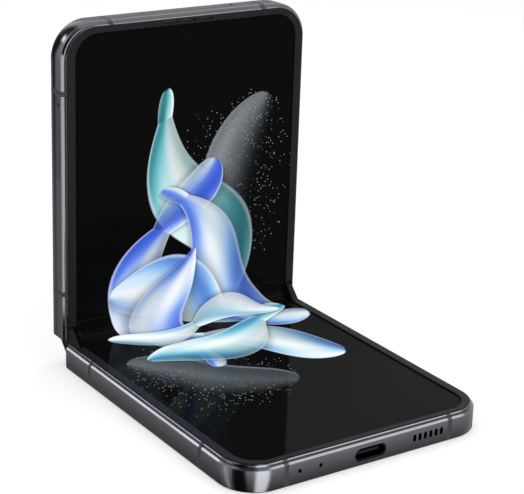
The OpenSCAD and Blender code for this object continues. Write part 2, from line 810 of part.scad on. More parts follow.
// Panel between the two flat stretches, bent round a quarter turn at rest
module display_fold() {
    bend_y = upper_y - panel_top - fold_r;
    bend_z = panel_top + fold_r;
    color("#0c0c0e") {
        at_origin() along_x(-panel_half, 2 * panel_half) {
            intersection() {
                translate([bend_y, bend_z]) ring(fold_r, fold_r + panel_t);
                translate([bend_y, bend_z - 2 * fold_r]) square(2 * fold_r);
            }
            translate([-fold_reach, plate_top]) square([fold_reach + bend_y, panel_t]);
            translate([bend_y + fold_r, bend_z])
                square([panel_t, upper_z + fold_reach - bend_z]);
        }
    }
}

// ---- Upper half ----

upper_screw_at = [for (s = upper_screw_s) [main_board_x[1] - 2.2, s]];

module key_cut(s, len) {
    along_x(half_w - key_reach + key_flange, key_reach)
        translate([s, key_z]) round_rect(len + 2 * key_gap, key_h + 2 * key_gap,
            key_h / 2 - 0.02);
}
module upper_frame() {
    in_upper() color("#55565b") difference() {
        half_frame(antenna_top_x);
        key_cut(power_s, power_len);
        key_cut(volume_s, volume_len);
        along_x(-half_w - 1, rim_w + 1.1)
            translate([tray_s, tray_z]) round_rect(tray_len + 2 * key_gap, tray_h + 2 * key_gap,
                0.7);
        translate([top_mic_x, half_len + 1, top_mic_z]) rotate([90, 0, 0])
            cylinder(r = mic_r, h = rim_w + 2);
        translate([0, front_s, plate_z - 1]) cylinder(r = front_r + 0.15, h = plate_t + 2);
        board_holes(upper_screw_at);
    }
}
module upper_antenna_breaks() { in_upper() antenna_breaks(antenna_top_x); }
module upper_back_glass() {
    in_upper() color("#3a3b3f") difference() {
        back_plate(1.25);
        block([-half_w, half_w], [window_s - 0.1, half_len], [-1, 2 * glass_t]);
    }
}
module back_window() {
    in_upper() color("#0b0b0c") difference() {
        intersection() {
            back_plate(1.25);
            block([-half_w, half_w], [window_s, half_len], [-1, glass_t + 1]);
        }
        for (s = camera_s) translate([camera_x, s, -1])
            cylinder(r = ring_r - 0.9, h = glass_t + 2);
        translate([flash_x, cover_s, -1]) cylinder(r = flash_r, h = glass_t + 2);
    }
}
module upper_bezel() {
    in_upper() color("#2b2b2d") difference() {
        bezel();
        // Earpiece slots
        for (x = earpiece_slots)
            translate([x, half_len - earpiece_far, plate_top - 1]) linear_extrude(3)
                round_rect(earpiece_slot[0], earpiece_slot[1], 0.24);
    }
}
module upper_display() {
    in_upper() color("#101012") difference() {
        panel();
        translate([0, front_s, 0]) cylinder(r = front_r + 0.1, h = body_t);
    }
}
module upper_wings() {
    color("#8f8f93") {
        in_upper() wing_plate();
        in_spine() hinge_modules() along_x(rail_u_u + 0.15, rail_w)
            rail(axis_off, rail_u_turn, 1);
    }
}
module upper_battery() {
    in_upper() color("#2a2a2c") translate([0, upper_battery_s + upper_battery_len / 2, battery_z])
        linear_extrude(battery_t) round_rect(2 * upper_battery_half, upper_battery_len, 1.2);
}
module main_board() {
    in_upper() color("#1e4a38") difference() {
        union() {
            block(main_board_x, main_board_s, [board_z, plate_z]);
            chips(main_chips, main_board_s[0]);
        }
        board_holes(upper_screw_at);
    }
}
module board_shield() {
    in_upper() color("#a3a3a6") difference() {
        block([-shield_x, shield_x], shield_s, [board_z - shield_h, board_z]);
        block([-shield_x + shield_wall, shield_x - shield_wall],
            [shield_s[0] + shield_wall, shield_s[1] - shield_wall],
            [board_z - shield_h + shield_wall, board_z + 1]);
    }
}
module earpiece() {
    in_upper() color("#29292b") block(earpiece_x, [half_len - 7.6, half_len - rim_w - 0.2],
        [plate_z - earpiece_t, plate_z]);
}
module front_camera() {
    in_upper() color("#0a0a0c") {
        translate([0, front_s, plate_z - front_body_t]) cylinder(r = front_body_r, h = front_body_t);
        translate([0, front_s, plate_z - 0.1]) cylinder(r = front_r, h = panel_top - plate_z);
    }
}
module rear_camera_modules() {
    in_upper() color("#1b1b1d") for (s = camera_s) {
        block([camera_x - camera_body / 2, camera_x + camera_body / 2],
            [s - camera_body / 2, s + camera_body / 2], [glass_t + 1.4, plate_z]);
        translate([camera_x, s, glass_t + 0.35]) cylinder(r = barrel_r, h = 1.1);
    }
}
module camera_rings() {
    in_upper() color("#6a6b70") for (s = camera_s)
        translate([camera_x, s, -ring_proud]) rotate_extrude() polygon([
            [ring_r - ring_wall, 0.15], [ring_r - 0.35, 0], [ring_r, 0.35], [ring_r, ring_proud],
            [ring_r - 0.95, ring_proud], [ring_r - 0.95, ring_proud + glass_t + 0.3],
            [ring_r - ring_wall, ring_proud + glass_t + 0.3],
        ]);
}
module camera_lenses() {
    in_upper() color("#050506") for (s = camera_s)
        translate([camera_x, s, 0.25 - ring_proud])
            cylinder(r = ring_r - ring_wall, h = ring_proud + glass_t + 0.1);
}
module flash_lamp() {
    in_upper() color("#e8e2c8") translate([flash_x, cover_s, 0.03]) {
        cylinder(r = flash_r - 0.05, h = glass_t - 0.03);
        translate([-flash_board[0] / 2, -flash_board[0] / 2, glass_t - 0.03])
            cube([flash_board[0], flash_board[0], flash_board[1]]);
    }
}
module cover_display() {
    in_upper() color("#0e1420") translate([cover_x, cover_s, glass_t])
        linear_extrude(cover_t) round_rect(cover_w, cover_h, 1.5);
}
module sim_reader() {
    in_upper() color("#b0b0b4") difference() {
        block(reader_x, reader_s, [tray_z - 0.55, board_z]);
        block([reader_x[0] - 1, reader_x[1] - 0.4], [reader_s[0] + 0.4, reader_s[1] - 0.4],
            [tray_z - 0.4, tray_z + 0.4]);
    }
}
module top_microphone() {
    in_upper() color("#b9a46a")
        microphone(top_mic_x, top_mic_z, [top_mic_z - 1, plate_z - earpiece_t - 0.02]);
}
module side_key_switches() {
    x = half_w - key_reach - switch_gap;
    in_upper() color("#8d8a80") {
        block([x - dome_t - strip_t, x - dome_t], [power_s - 6, volume_s + 9], [key_z - 1, key_z + 1]);
        for (s = [power_s, volume_s - 6.5, volume_s + 6.5])
            block([x - dome_t, x], [s - 1.5, s + 1.5], [key_z - 0.9, key_z + 0.9]);
    }
}
module upper_screws() {
    in_upper() {
        screws();
        color("#9a9a9c") for (at = upper_screw_at) board_screw(at);
    }
}

// ---- Pieces that move in the upper half ----

module key(s, len) {
    translate([0, s, key_z]) {
        along_x(half_w - key_reach + key_flange - 0.01, key_reach - key_flange + key_proud - 0.14)
            round_rect(len, key_h, key_h / 2 - 0.1);
        along_x(half_w + key_proud - 0.16, 0.16) round_rect(len - 0.3, key_h - 0.3,
            key_h / 2 - 0.25);
        along_x(half_w - key_reach, key_flange) round_rect(len + 1.2, key_h - 0.2, 0.4);
    }
}
module power_key() { in_upper() color("#4d4e53") key(power_s, power_len); }
module volume_key() { in_upper() color("#4d4e53") key(volume_s, volume_len); }
module sim_tray() {
    in_upper() color("#5a5b60") difference() {
        union() {
            along_x(-half_w, tray_face_t) translate([tray_s, tray_z])
                round_rect(tray_len, tray_h, 0.6);
            block([-half_w + tray_face_t - 0.1, -half_w + tray_depth],
                [tray_s - tray_plate_len / 2 - 1.5, tray_s + tray_plate_len / 2 - 1.6],
                [tray_z - tray_plate_t / 2, tray_z + tray_plate_t / 2]);
        }
        // Pocket for the card, and the eject hole
        block([-half_w + 4, -half_w + 4 + card[0]], [tray_s - 8.3, tray_s - 8.3 + card[1]],
            [tray_z - 0.1, tray_z + 1]);
        translate([-half_w - 1, half_len - eject_far, tray_z]) rotate([0, 90, 0])
            cylinder(r = eject_r, h = tray_face_t + 2);
    }
}

lower_frame();
lower_antenna_breaks();
lower_back_glass();
lower_bezel();
lower_display();
lower_wings();
lower_battery();
lower_board();
usb_socket();
loudspeaker();
speaker_mesh();
bottom_microphones();
vibration_motor();
charging_coil();
lower_screws();
spine_cover();
spine_end_caps();
hinge_brackets();
gear_pins();
display_fold();
lower_pinions();
upper_pinions();
lower_idlers();
upper_idlers();
upper_frame();
upper_antenna_breaks();
upper_back_glass();
back_window();
upper_bezel();
upper_display();
upper_wings();
upper_battery();
main_board();
board_shield();
earpiece();
front_camera();
rear_camera_modules();
camera_rings();
camera_lenses();
flash_lamp();
cover_display();
sim_reader();
top_microphone();
side_key_switches();
upper_screws();
power_key();
volume_key();
sim_tray();
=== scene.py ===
"""Foldable smartphone, half open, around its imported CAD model. Metres; +Z up."""

import math

import bmesh
import bpy
from mathutils import Matrix, Vector


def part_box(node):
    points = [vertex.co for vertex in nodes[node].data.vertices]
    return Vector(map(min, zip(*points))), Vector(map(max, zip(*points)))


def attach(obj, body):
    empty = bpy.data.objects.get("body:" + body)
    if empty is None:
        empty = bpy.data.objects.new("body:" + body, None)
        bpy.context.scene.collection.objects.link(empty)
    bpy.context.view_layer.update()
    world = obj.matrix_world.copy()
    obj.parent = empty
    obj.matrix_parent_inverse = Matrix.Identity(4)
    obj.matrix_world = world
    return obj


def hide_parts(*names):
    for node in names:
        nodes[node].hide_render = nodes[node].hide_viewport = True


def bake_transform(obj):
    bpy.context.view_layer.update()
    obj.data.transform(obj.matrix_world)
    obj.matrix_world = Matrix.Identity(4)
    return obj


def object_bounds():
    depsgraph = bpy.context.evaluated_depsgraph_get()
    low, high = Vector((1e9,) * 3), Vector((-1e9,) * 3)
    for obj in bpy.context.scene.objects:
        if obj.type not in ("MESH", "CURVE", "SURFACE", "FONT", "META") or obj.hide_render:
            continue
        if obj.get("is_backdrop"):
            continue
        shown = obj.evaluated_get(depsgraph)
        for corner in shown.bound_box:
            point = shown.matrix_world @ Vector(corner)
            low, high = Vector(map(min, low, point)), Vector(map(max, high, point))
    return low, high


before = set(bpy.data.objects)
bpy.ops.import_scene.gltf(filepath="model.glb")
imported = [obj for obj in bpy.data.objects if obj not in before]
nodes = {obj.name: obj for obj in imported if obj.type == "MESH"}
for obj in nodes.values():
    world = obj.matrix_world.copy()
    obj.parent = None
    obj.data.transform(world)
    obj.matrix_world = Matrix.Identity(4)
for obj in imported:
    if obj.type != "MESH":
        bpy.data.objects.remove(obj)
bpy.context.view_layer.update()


# ---------------------------------------------------------------- camera
# A long lens in front of the lower half's far left corner, looking down on it by a fifth of
# a right angle. Place, turn and lens come from the phone's straight edges in the photograph.
mm = 0.001
azimuth, elevation, roll = math.radians(-34.78), math.radians(19.71), math.radians(2.12)
aim, distance = Vector((0, -2.722, 40)) * mm, 407.57 * mm
back = Vector((math.sin(azimuth) * math.cos(elevation),
               -math.cos(azimuth) * math.cos(elevation), math.sin(elevation)))
level = Vector((math.cos(azimuth), math.sin(azimuth), 0))
upright = back.cross(level)
right = level * math.cos(roll) + upright * math.sin(roll)
above = upright * math.cos(roll) - level * math.sin(roll)
camera = bpy.data.objects.new("camera", bpy.data.cameras.new("camera"))
camera.data.lens, camera.data.sensor_width = 115.1, 36
image_width, right_by, up_by = 524, -11.16, -0.47
camera.data.shift_x, camera.data.shift_y = right_by / image_width, up_by / image_width
camera.data.clip_start, camera.data.clip_end = 0.01, 20
turn = Matrix((right, above, back)).transposed().to_4x4()
camera.matrix_world = Matrix.Translation(aim + back * distance) @ turn
bpy.context.scene.collection.objects.link(camera)
bpy.context.scene.camera = camera
bpy.context.scene.view_settings.view_transform = "Standard"


# ---------------------------------------------------------------- floor
# A pale sheet under the phone, which keeps its soft shadow. The camera sees it as white, and
# metal and glass look through it to the room's own white.
def linear(code):
    """A colour written as sRGB hex, as scene-linear values."""
    parts = [int(code[i:i + 2], 16) / 255 for i in (1, 3, 5)]
    return (*[c / 12.92 if c <= 0.04045 else ((c + 0.055) / 1.055) ** 2.4 for c in parts], 1.0)


def add(tree, kind, *terms, **values):
    """One new node. The kind is its type, or in capitals an operation of Math. Terms fill its
    inputs in order; a capitalised name is one input, with _ for a space; stops are places and
    colours of a ramp; other names are settings. A node given as a value is linked by its first
    output, and a socket by itself."""
    full = "ShaderNodeMath" if kind.isupper() else kind
    made = tree.nodes.new(full if full.startswith(("Shader", "Geometry")) else "ShaderNode" + full)
    if kind.isupper():
        made.operation = kind
    for k, (place, code) in enumerate(values.pop("stops", ())):
        ramp = made.color_ramp.elements
        stop = ramp[k] if k < 2 else ramp.new(1.0)
        stop.position, stop.color = place, linear(code)
    for name in [n for n in values if n[0].islower()]:
        setattr(made, name, values.pop(name))
    ready = [s for s in made.inputs if s.enabled]
    given = list(zip(ready, terms))
    given += [(next(s for s in ready if s.name == name.replace("_", " ")), value)
              for name, value in values.items()]
    for socket, value in given:
        if isinstance(value, bpy.types.Node):
            value = next(s for s in value.outputs if s.enabled)
        if isinstance(value, bpy.types.NodeSocket):
            tree.links.new(value, socket)
        else:
            socket.default_value = value
    return made


def fresh(name):
    """An empty material, its tree and its output."""
    made = bpy.data.materials.new(name)
    made.use_nodes = True
    made.node_tree.nodes.clear()
    return made, made.node_tree, add(made.node_tree, "OutputMaterial")


def mesh_piece(name, verts, faces, material, smooth=False):
    """A new object at the origin from corner places in metres."""
    mesh = bpy.data.meshes.new(name)
    mesh.from_pydata(verts, [], faces)
    mesh.materials.append(material)
    mesh.polygons.foreach_set("use_smooth", [smooth] * len(mesh.polygons))
    made = bpy.data.objects.new(name, mesh)
    bpy.context.scene.collection.objects.link(made)
    return made


white = (1, 1, 1, 1)
floor_half, floor_z = 500 * mm, -0.1 * mm
floor_tone, floor_glow = 0.55, 0.55
white_floor, tree, out = fresh("white_floor")
rays = add(tree, "LightPath")
matt = add(tree, "BsdfDiffuse", Color=(floor_tone, floor_tone, floor_tone, 1))
lit = add(tree, "AddShader", matt, add(tree, "Emission", Color=white, Strength=floor_glow))
seen = add(tree, "MixShader", rays.outputs["Is Camera Ray"], matt, lit)
mirrored = add(tree, "MAXIMUM", rays.outputs["Is Glossy Ray"], rays.outputs["Is Transmission Ray"])
shown = add(tree, "MixShader", mirrored, seen, add(tree, "BsdfTransparent"))
tree.links.new(shown.outputs[0], out.inputs["Surface"])
floor = mesh_piece("floor", [(x * floor_half, y * floor_half, floor_z)
                             for x, y in ((-1, -1), (1, -1), (1, 1), (-1, 1))],
                   [(0, 1, 2, 3)], white_floor)
floor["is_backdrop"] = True


# ---------------------------------------------------------------- room
# A plain room, white overhead and greyer near the floor, which the polished metal mirrors.
# Its soft boxes and dark flags are set where the photograph's rims show light and dark: the
# direction of each, its half angle in degrees, how much taller than wide it is, and the light
# that it adds.
world = bpy.data.worlds.new("room")
bpy.context.scene.world = world
world.use_nodes = True
tree = world.node_tree
tree.nodes.clear()
rays = add(tree, "LightPath")
way = add(tree, "TexCoord").outputs["Generated"]
low_rise, low_light, high_light = -0.85, 0.08, 1.05
mirrored = add(tree, "MapRange", add(tree, "SeparateXYZ", way).outputs[2],
               low_rise, 0.0, low_light, high_light)
for to, half_angle, tall, extra in (
        ((0.57, -0.52, 0.64), 20, 1, 2.6),       # high on the right: the near chamfer
        ((-0.463, 0.770, 0.438), 8.5, 0.6, 5.2),  # behind on the left: the left chamfer
        ((0.513, -0.02, 0.858), 8, 1, 1.8),      # above: the bright line along the top
        ((0.51, -0.19, 0.84), 9, 1, -0.4),       # dimmer beside it, for the top's chamfer
        ((-0.082, -0.882, -0.465), 24, 5, 3.6),  # low in front: the near corner's bright band
        ((-0.83, -0.3, -0.465), 24, 4, -1.1),    # dark beside the camera: its black band
        ((-0.83, 0.3, -0.463), 10, 5, 0.9),      # and the light band beyond it
        ((-0.433, 0.849, -0.302), 24, 2, -0.2),  # the left sides turn to a greyer wall
        ((-0.166, 0.939, -0.302), 18, 1, -0.25),  # greyer still behind the standing half
        ((-0.24, 0.88, 0.41), 24, 2, -1.0),      # dark over that, for the top left corner
        ((-0.8, -0.45, 0.35), 28, 1, -1.0),      # dark on the left, for its chamfer
        ((-0.48, -0.36, 0.8), 28, 1, -0.9),      # dark overhead, for the corners' chamfers
        ((0.669, 0.611, -0.423), 16, 1, -0.45),  # dim beyond the far right corner
        ((0.51, 0.836, 0.204), 16, 1, -0.65)):   # and a dim wall behind the screens
    squat = add(tree, "VectorMath", add(
        tree, "VectorMath", way, (1, 1, 1 / tall), operation="MULTIPLY"), operation="NORMALIZE")
    centre = Vector((to[0], to[1], to[2] / tall)).normalized()
    lean = add(tree, "VectorMath", squat, centre, operation="DOT_PRODUCT")
    spot = add(tree, "MapRange", lean, math.cos(math.radians(half_angle)),
               math.cos(math.radians(half_angle / 2)), 0.0, extra,
               interpolation_type="SMOOTHSTEP")
    mirrored = add(tree, "ADD", mirrored, spot)
least_light, soft_light = 0.02, 0.45
soft = add(tree, "Background", linear("#f2f3f5"), soft_light)
walls = add(tree, "Background", white, add(tree, "MAXIMUM", mirrored, least_light))
backdrop = add(tree, "Background", white, 1.0)
bent = add(tree, "MAXIMUM", rays.outputs["Is Glossy Ray"], rays.outputs["Is Transmission Ray"])
seen = add(tree, "MixShader", rays.outputs["Is Camera Ray"],
           add(tree, "MixShader", bent, soft, walls), backdrop)
add(tree, "OutputWorld", seen)


# ---------------------------------------------------------------- lamps
# A narrow card of light stands at the left and shows only in gloss, as the bright line down
# the standing half. Three soft boxes light the phone at a plain level.
card_x, card_y, card_z = -60 * mm, (23.5 * mm, 29.3 * mm), (4 * mm, 84 * mm)
card_glow = 3.0
card_light, tree, out = fresh("card_light")
rays = add(tree, "LightPath")
shown = add(tree, "MixShader", rays.outputs["Is Glossy Ray"], add(tree, "BsdfTransparent"),
            add(tree, "Emission", Color=white, Strength=card_glow))
tree.links.new(shown.outputs[0], out.inputs["Surface"])
card = mesh_piece("light_card", [(card_x, card_y[i], card_z[k])
                                 for i, k in ((0, 0), (1, 0), (1, 1), (0, 1))],
                  [(0, 1, 2, 3)], card_light)
card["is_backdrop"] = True

# Each box's place and size in metres, and its power in watts
for name, place, size, power in (
        ("left_box", (-0.75, -0.35, 0.55), (0.7, 0.5), 2.2),
        ("front_box", (0.35, -0.9, 0.5), (0.6, 0.35), 2.0),
        ("top_box", (0.1, 0.25, 1.0), (0.9, 0.6), 4.5)):
    lamp = bpy.data.lights.new(name, "AREA")
    lamp.shape = "RECTANGLE"
    lamp.size, lamp.size_y = size
    lamp.energy = power
    box = bpy.data.objects.new(name, lamp)
    box.location = place
    box.rotation_mode = "QUATERNION"
    box.rotation_quaternion = (Vector(place) - aim).to_track_quat("Z", "Y")
    box.visible_glossy = False
    bpy.context.scene.collection.objects.link(box)


# ---------------------------------------------------------------- rims
# Each half's rim and the plate behind the screen are one piece of aluminium, milled from bar
# with a chamfer and a raised line round the screen, then polished and anodised in graphite.
def finish_of(name, **values):
    """A material with one surface shader; its tree, the shader and the piece's own place."""
    made, tree, out = fresh(name)
    shader = add(tree, "BsdfPrincipled", **values)
    tree.links.new(shader.outputs[0], out.inputs["Surface"])
    return made, tree, shader, add(tree, "TexCoord").outputs["Object"]


grain_depth, gloss_swing = 0.02 * mm, 0.12


def grained(name, colours, roughness, grain, bump, cloud=None, edge=None, **values):
    """A finish with a fine grain of that spacing, clouds of that size in its colour and gloss
    where a size is given, and edges eased by that radius."""
    made, tree, shader, place = finish_of(name, **values)
    fine, wide = [add(tree, "TexNoise", Vector=place, Scale=1 / size, Detail=3.0, Roughness=0.6)
                  for size in (grain, cloud or grain)]
    tint = add(tree, "Mix", wide, linear(colours[0]), linear(colours[1]), data_type="RGBA")
    tree.links.new(tint.outputs["Result"], shader.inputs["Base Color"])
    gloss = add(tree, "MapRange", wide, 0.3, 0.7, roughness * (1 - gloss_swing),
                roughness * (1 + gloss_swing))
    tree.links.new(gloss.outputs["Result"], shader.inputs["Roughness"])
    normal = add(tree, "Bump", Strength=bump, Distance=grain_depth, Height=fine)
    if edge:
        eased = add(tree, "Bevel", samples=6, Radius=edge)
        tree.links.new(eased.outputs[0], normal.inputs["Normal"])
    tree.links.new(normal.outputs[0], shader.inputs["Normal"])
    return made


def reopened(material, name):
    """A finish's tree, the named input of its shader, and what feeds that input so far."""
    shader = next(n for n in material.node_tree.nodes if n.type == "BSDF_PRINCIPLED")
    return material.node_tree, shader.inputs[name], shader.inputs[name].links[0].from_socket


def dress(material, *names):
    """Gives CAD nodes their finish."""
    for name in names:
        mesh = nodes[name].data
        mesh.materials.clear()
        mesh.materials.append(material)
        mesh.polygons.foreach_set("material_index", [0] * len(mesh.polygons))


# Anodised aluminium, polished first: a dark, slightly blue mirror with the grain of the
# buffing, sharp edges, and sides that the wheel has left a little crowned. The grain is drawn
# at 0.11 mm, coarser than the real one, which wouldn't show. The crown has a radius of about
# 11 mm, so its curvature is 90 to the metre.
rim_colours, rim_roughness = ("#65666b", "#6c6d72"), 0.17
side_mid, side_half, crown = 3 * mm, 2.6 * mm, 90.0
upper_back_y = 44.4218 * mm
for name, node, axis, sign, start in (
        ("anodised_aluminium_lower", "lower_frame", 2, 1.0, 0.0),
        ("anodised_aluminium_upper", "upper_frame", 1, -1.0, upper_back_y)):
    rim = grained(name, rim_colours, rim_roughness, grain=0.11 * mm, bump=0.06,
                  cloud=11 * mm, edge=0.01 * mm, Metallic=1.0)
    tree, facing, normal = reopened(rim, "Normal")
    place = add(tree, "TexCoord").outputs["Object"]
    off = add(tree, "MULTIPLY_ADD", add(tree, "SeparateXYZ", place).outputs[axis],
              sign, start - side_mid)
    off = add(tree, "MAXIMUM", add(tree, "MINIMUM", off, side_half), -side_half)
    bulge = add(tree, "MULTIPLY", add(tree, "MULTIPLY", off, off), -crown / 2)
    crowned = add(tree, "Bump", Strength=1.0, Distance=1.0, Height=bulge, Normal=normal)
    tree.links.new(crowned.outputs[0], facing)
    dress(rim, node)


# ---------------------------------------------------------------- antenna breaks
# Glass-filled plastic is moulded into gaps in the rims, so that their stretches work as
# antennas, and is milled and buffed flush with the metal. The fibres make it a mottled grey,
# dull beside the polish.
dress(grained("glass_filled_plastic", ("#2e2f33", "#3a3b3f"), roughness=0.42,
              grain=0.38 * mm, bump=0.1, Specular_IOR_Level=0.45),
      "lower_antenna_breaks", "upper_antenna_breaks")


# ---------------------------------------------------------------- bezels
# The frame round the folding screen is a soft satin plastic, injection moulded and glued over
# the panel's edge. Its spark-eroded grain of about 0.2 mm leaves almost no glare on it.
dress(grained("moulded_satin_plastic", ("#1e1e20", "#242426"), roughness=0.45,
              grain=0.19 * mm, bump=0.25, cloud=14 * mm, edge=0.06 * mm,
              Specular_IOR_Level=0.1), "lower_bezel", "upper_bezel")


# ---------------------------------------------------------------- folding screen
# One flexible panel runs over both halves: a hard-coated polymer film, with little glare, on
# light-emitting layers. It shows loose silk ribbons on black. Its flat stretches are CAD
# pieces.
def turned(tree, across, along, x, y, lean):
    """The place along and across a line through (x, y) that leans by so many radians."""
    dx, dy = add(tree, "SUBTRACT", across, x), add(tree, "SUBTRACT", along, y)
    u = add(tree, "MULTIPLY_ADD", dx, math.cos(lean), add(tree, "MULTIPLY", dy, math.sin(lean)))
    w = add(tree, "MULTIPLY_ADD", dy, math.cos(lean), add(tree, "MULTIPLY", dx, -math.sin(lean)))
    return u, w


cm, sparks_per_cm, dust_per_cm, spark_r = 10 * mm, 15.0, 40.0, 0.22
black, hem_colour = (0, 0, 0, 1), "#f4fbff"
end_blunt, edge_on, pleats, pleat_depth = 2.2, 0.3, 7.0, 0.11


def ribbon_picture(ribbons):
    """A node group from a place on the opened screen (x across, y from the fold, in metres)
    to the colour that it shows there."""
    group = bpy.data.node_groups.new("ribbon_picture", "ShaderNodeTree")
    group.interface.new_socket("Place", in_out="INPUT", socket_type="NodeSocketVector")
    group.interface.new_socket("Color", in_out="OUTPUT", socket_type="NodeSocketColor")
    start = group.nodes.new("NodeGroupInput")
    place = add(group, "VectorMath", start.outputs[0], 1 / cm, operation="SCALE")
    fold = add(group, "SeparateXYZ", place)
    across, along = fold.outputs[0], fold.outputs[1]
    soft = {"interpolation_type": "SMOOTHSTEP"}
    colour = {"data_type": "RGBA"}
    dots = add(group, "TexVoronoi", Vector=place, Scale=sparks_per_cm, Randomness=1.0)
    lot = add(group, "SeparateXYZ", dots.outputs["Color"])
    dust = add(group, "TexNoise", Vector=place, Scale=dust_per_cm, Detail=2.0, Roughness=0.7)
    shown = black
    for (x, y, lean, length, width, bow, wave, phase, turn, start_turn, cover, tones) in ribbons:
        # u runs along the ribbon and w across it, off its wavy middle line
        u, w = turned(group, across, along, x, y, lean)
        swing = add(group, "MULTIPLY_ADD", u, wave, phase)
        steep = add(group, "MULTIPLY", add(group, "COSINE", swing), bow * wave)
        w = add(group, "SUBTRACT", w, add(group, "MULTIPLY", add(group, "SINE", swing), bow))
        w = add(group, "DIVIDE", w, add(group, "SQRT", add(
            group, "MULTIPLY_ADD", steep, steep, 1.0)))
        # t is -1 and 1 at its two edges, which draw in at the ends and where it turns over
        run = add(group, "MINIMUM", add(group, "ABSOLUTE", add(group, "DIVIDE", u, length)), 1.0)
        taper = add(group, "SQRT", add(group, "MAXIMUM", add(
            group, "SUBTRACT", 1.0, add(group, "POWER", run, end_blunt)), 0.0001))
        twist = add(group, "MULTIPLY_ADD", u, turn, start_turn)
        side = add(group, "COSINE", twist)
        breadth = add(group, "MULTIPLY_ADD", add(group, "ABSOLUTE", side), 1 - edge_on, edge_on)
        t = add(group, "DIVIDE", w, add(group, "MULTIPLY", breadth, add(
            group, "MULTIPLY", taper, width)))
        far = add(group, "ABSOLUTE", t)
        there = add(group, "MapRange", run, 1.0, 0.97, 0.0, 1.0, **soft)
        # the silk's gloss and pleats, and its paler hem
        gloss = add(group, "MULTIPLY_ADD", add(group, "SINE", add(
            group, "MULTIPLY_ADD", t, 2.2, add(group, "MULTIPLY_ADD", twist, 2.0, 0.6))),
            0.5, 0.5)
        pleat = add(group, "MULTIPLY_ADD", add(group, "COSINE", add(
            group, "MULTIPLY_ADD", t, pleats, add(group, "MULTIPLY", add(group, "SINE", add(
                group, "MULTIPLY_ADD", u, 0.9, phase)), 2.2))), pleat_depth, 1 - pleat_depth)
        silk = add(group, "ValToRGB", add(group, "MULTIPLY_ADD", gloss, pleat, 0.05),
                   stops=[(k / (len(tones) - 1), code) for k, code in enumerate(tones)])
        hem = add(group, "MapRange", far, 0.82, 0.97, 0.0, 0.5, **soft)
        silk = add(group, "Mix", hem, silk, linear(hem_colour), **colour)
        # how much of it covers what lies under it; a veil is dusty, and a ribbon casts a shadow
        edge = add(group, "MULTIPLY", add(group, "MapRange", far, 1.0, 0.94, 0.0, 1.0, **soft),
                   there)
        facing = add(group, "MULTIPLY", t, add(group, "SIGN", side))
        share = add(group, "MULTIPLY", edge, add(
            group, "MapRange", facing, -1.0, 0.4, 0.5 * cover, cover, **soft))
        if cover < 0.5:
            share = add(group, "MULTIPLY", share, add(
                group, "MapRange", facing, -1.0, 1.0, 0.0, 1.6, **soft))
            share = add(group, "MULTIPLY", share, add(group, "MULTIPLY_ADD", dust, 2.0, -0.2))
            near = add(group, "MULTIPLY", add(
                group, "MapRange", far, 2.4, 0.9, 0.0, 0.5, **soft), there)
            spark = add(group, "MULTIPLY", add(group, "LESS_THAN", dots, spark_r),
                        add(group, "LESS_THAN", lot, near))
            share = add(group, "MAXIMUM", share, add(group, "MULTIPLY", spark, 0.55))
        else:
            shadow = add(group, "MULTIPLY", add(
                group, "MapRange", far, 1.5, 0.8, 0.0, 0.5, **soft), there)
            shown = add(group, "Mix", shadow, shown, black, **colour)
        shown = add(group, "Mix", share, shown, silk, **colour)
    end = group.nodes.new("NodeGroupOutput")
    group.links.new(shown.outputs["Result"], end.inputs[0])
    return group


# For each ribbon, in cm from the fold: middle and lean of its run, half length, half width,
# bow, waves, phase, twist and where the twist starts; then its cover, and its colours from
# the shaded side to the lit one. The first two are veils of smoke with sparks.
smoke = ("#59646e", "#8d9aa4", "#b9c4cc", "#dde5ea")
picture = ribbon_picture((
    (1.60, 3.7, 1.20, 2.4, 0.95, 0.30, 0.90, 1.0, 0.10, 0.2, 0.3, smoke),
    (-1.30, -3.4, 2.45, 2.2, 1.00, 0.30, 1.10, 2.0, 0.10, 3.0, 0.3, smoke),
    (0.30, 3.3, 1.95, 3.2, 1.05, 0.45, 1.05, 0.4, 0.50, 0.35, 1.0,
     ("#2b7f8d", "#74c5cc", "#bfe8eb", "#f2fdfd")),
    (-0.75, 1.9, 1.15, 2.9, 0.90, 0.50, 1.00, 2.0, 0.62, 1.2, 1.0,
     ("#3557cc", "#5b7fe8", "#a9c4f8", "#e6effe")),
    (0.95, 1.6, 2.30, 2.7, 0.85, 0.45, 1.15, 3.0, 0.60, 0.4, 1.0,
     ("#4a70e0", "#86a8f4", "#c5d9fb", "#f4f9ff")),
    (0.55, 0.1, 2.75, 3.0, 0.98, 0.45, 1.10, 3.6, 0.60, 2.2, 1.0,
     ("#4a7ad0", "#8fbdf1", "#cfe6fa", "#f6fcff")),
    (-0.65, -0.5, 1.35, 2.6, 0.80, 0.40, 1.25, 1.2, 0.75, 2.8, 1.0,
     ("#4468dc", "#86a8f6", "#cbdffc", "#f6faff")),
    (0.70, -2.1, 2.55, 2.5, 0.95, 0.40, 1.10, 4.4, 0.55, 0.9, 1.0,
     ("#4d86d8", "#8fc4ee", "#cdeaf6", "#f4fcff")),
    (0.45, -1.5, 0.30, 2.7, 0.85, 0.42, 1.20, 5.0, 0.68, 0.6, 1.0,
     ("#3b86b8", "#7fc9dc", "#c3eaf1", "#f6feff")),
    (0.10, -0.4, 0.05, 2.6, 0.55, 0.35, 1.50, 0.0, 0.85, 1.6, 1.0,
     ("#8dbfd6", "#c4e3ef", "#e6f5fa", "#fbfeff")),
))


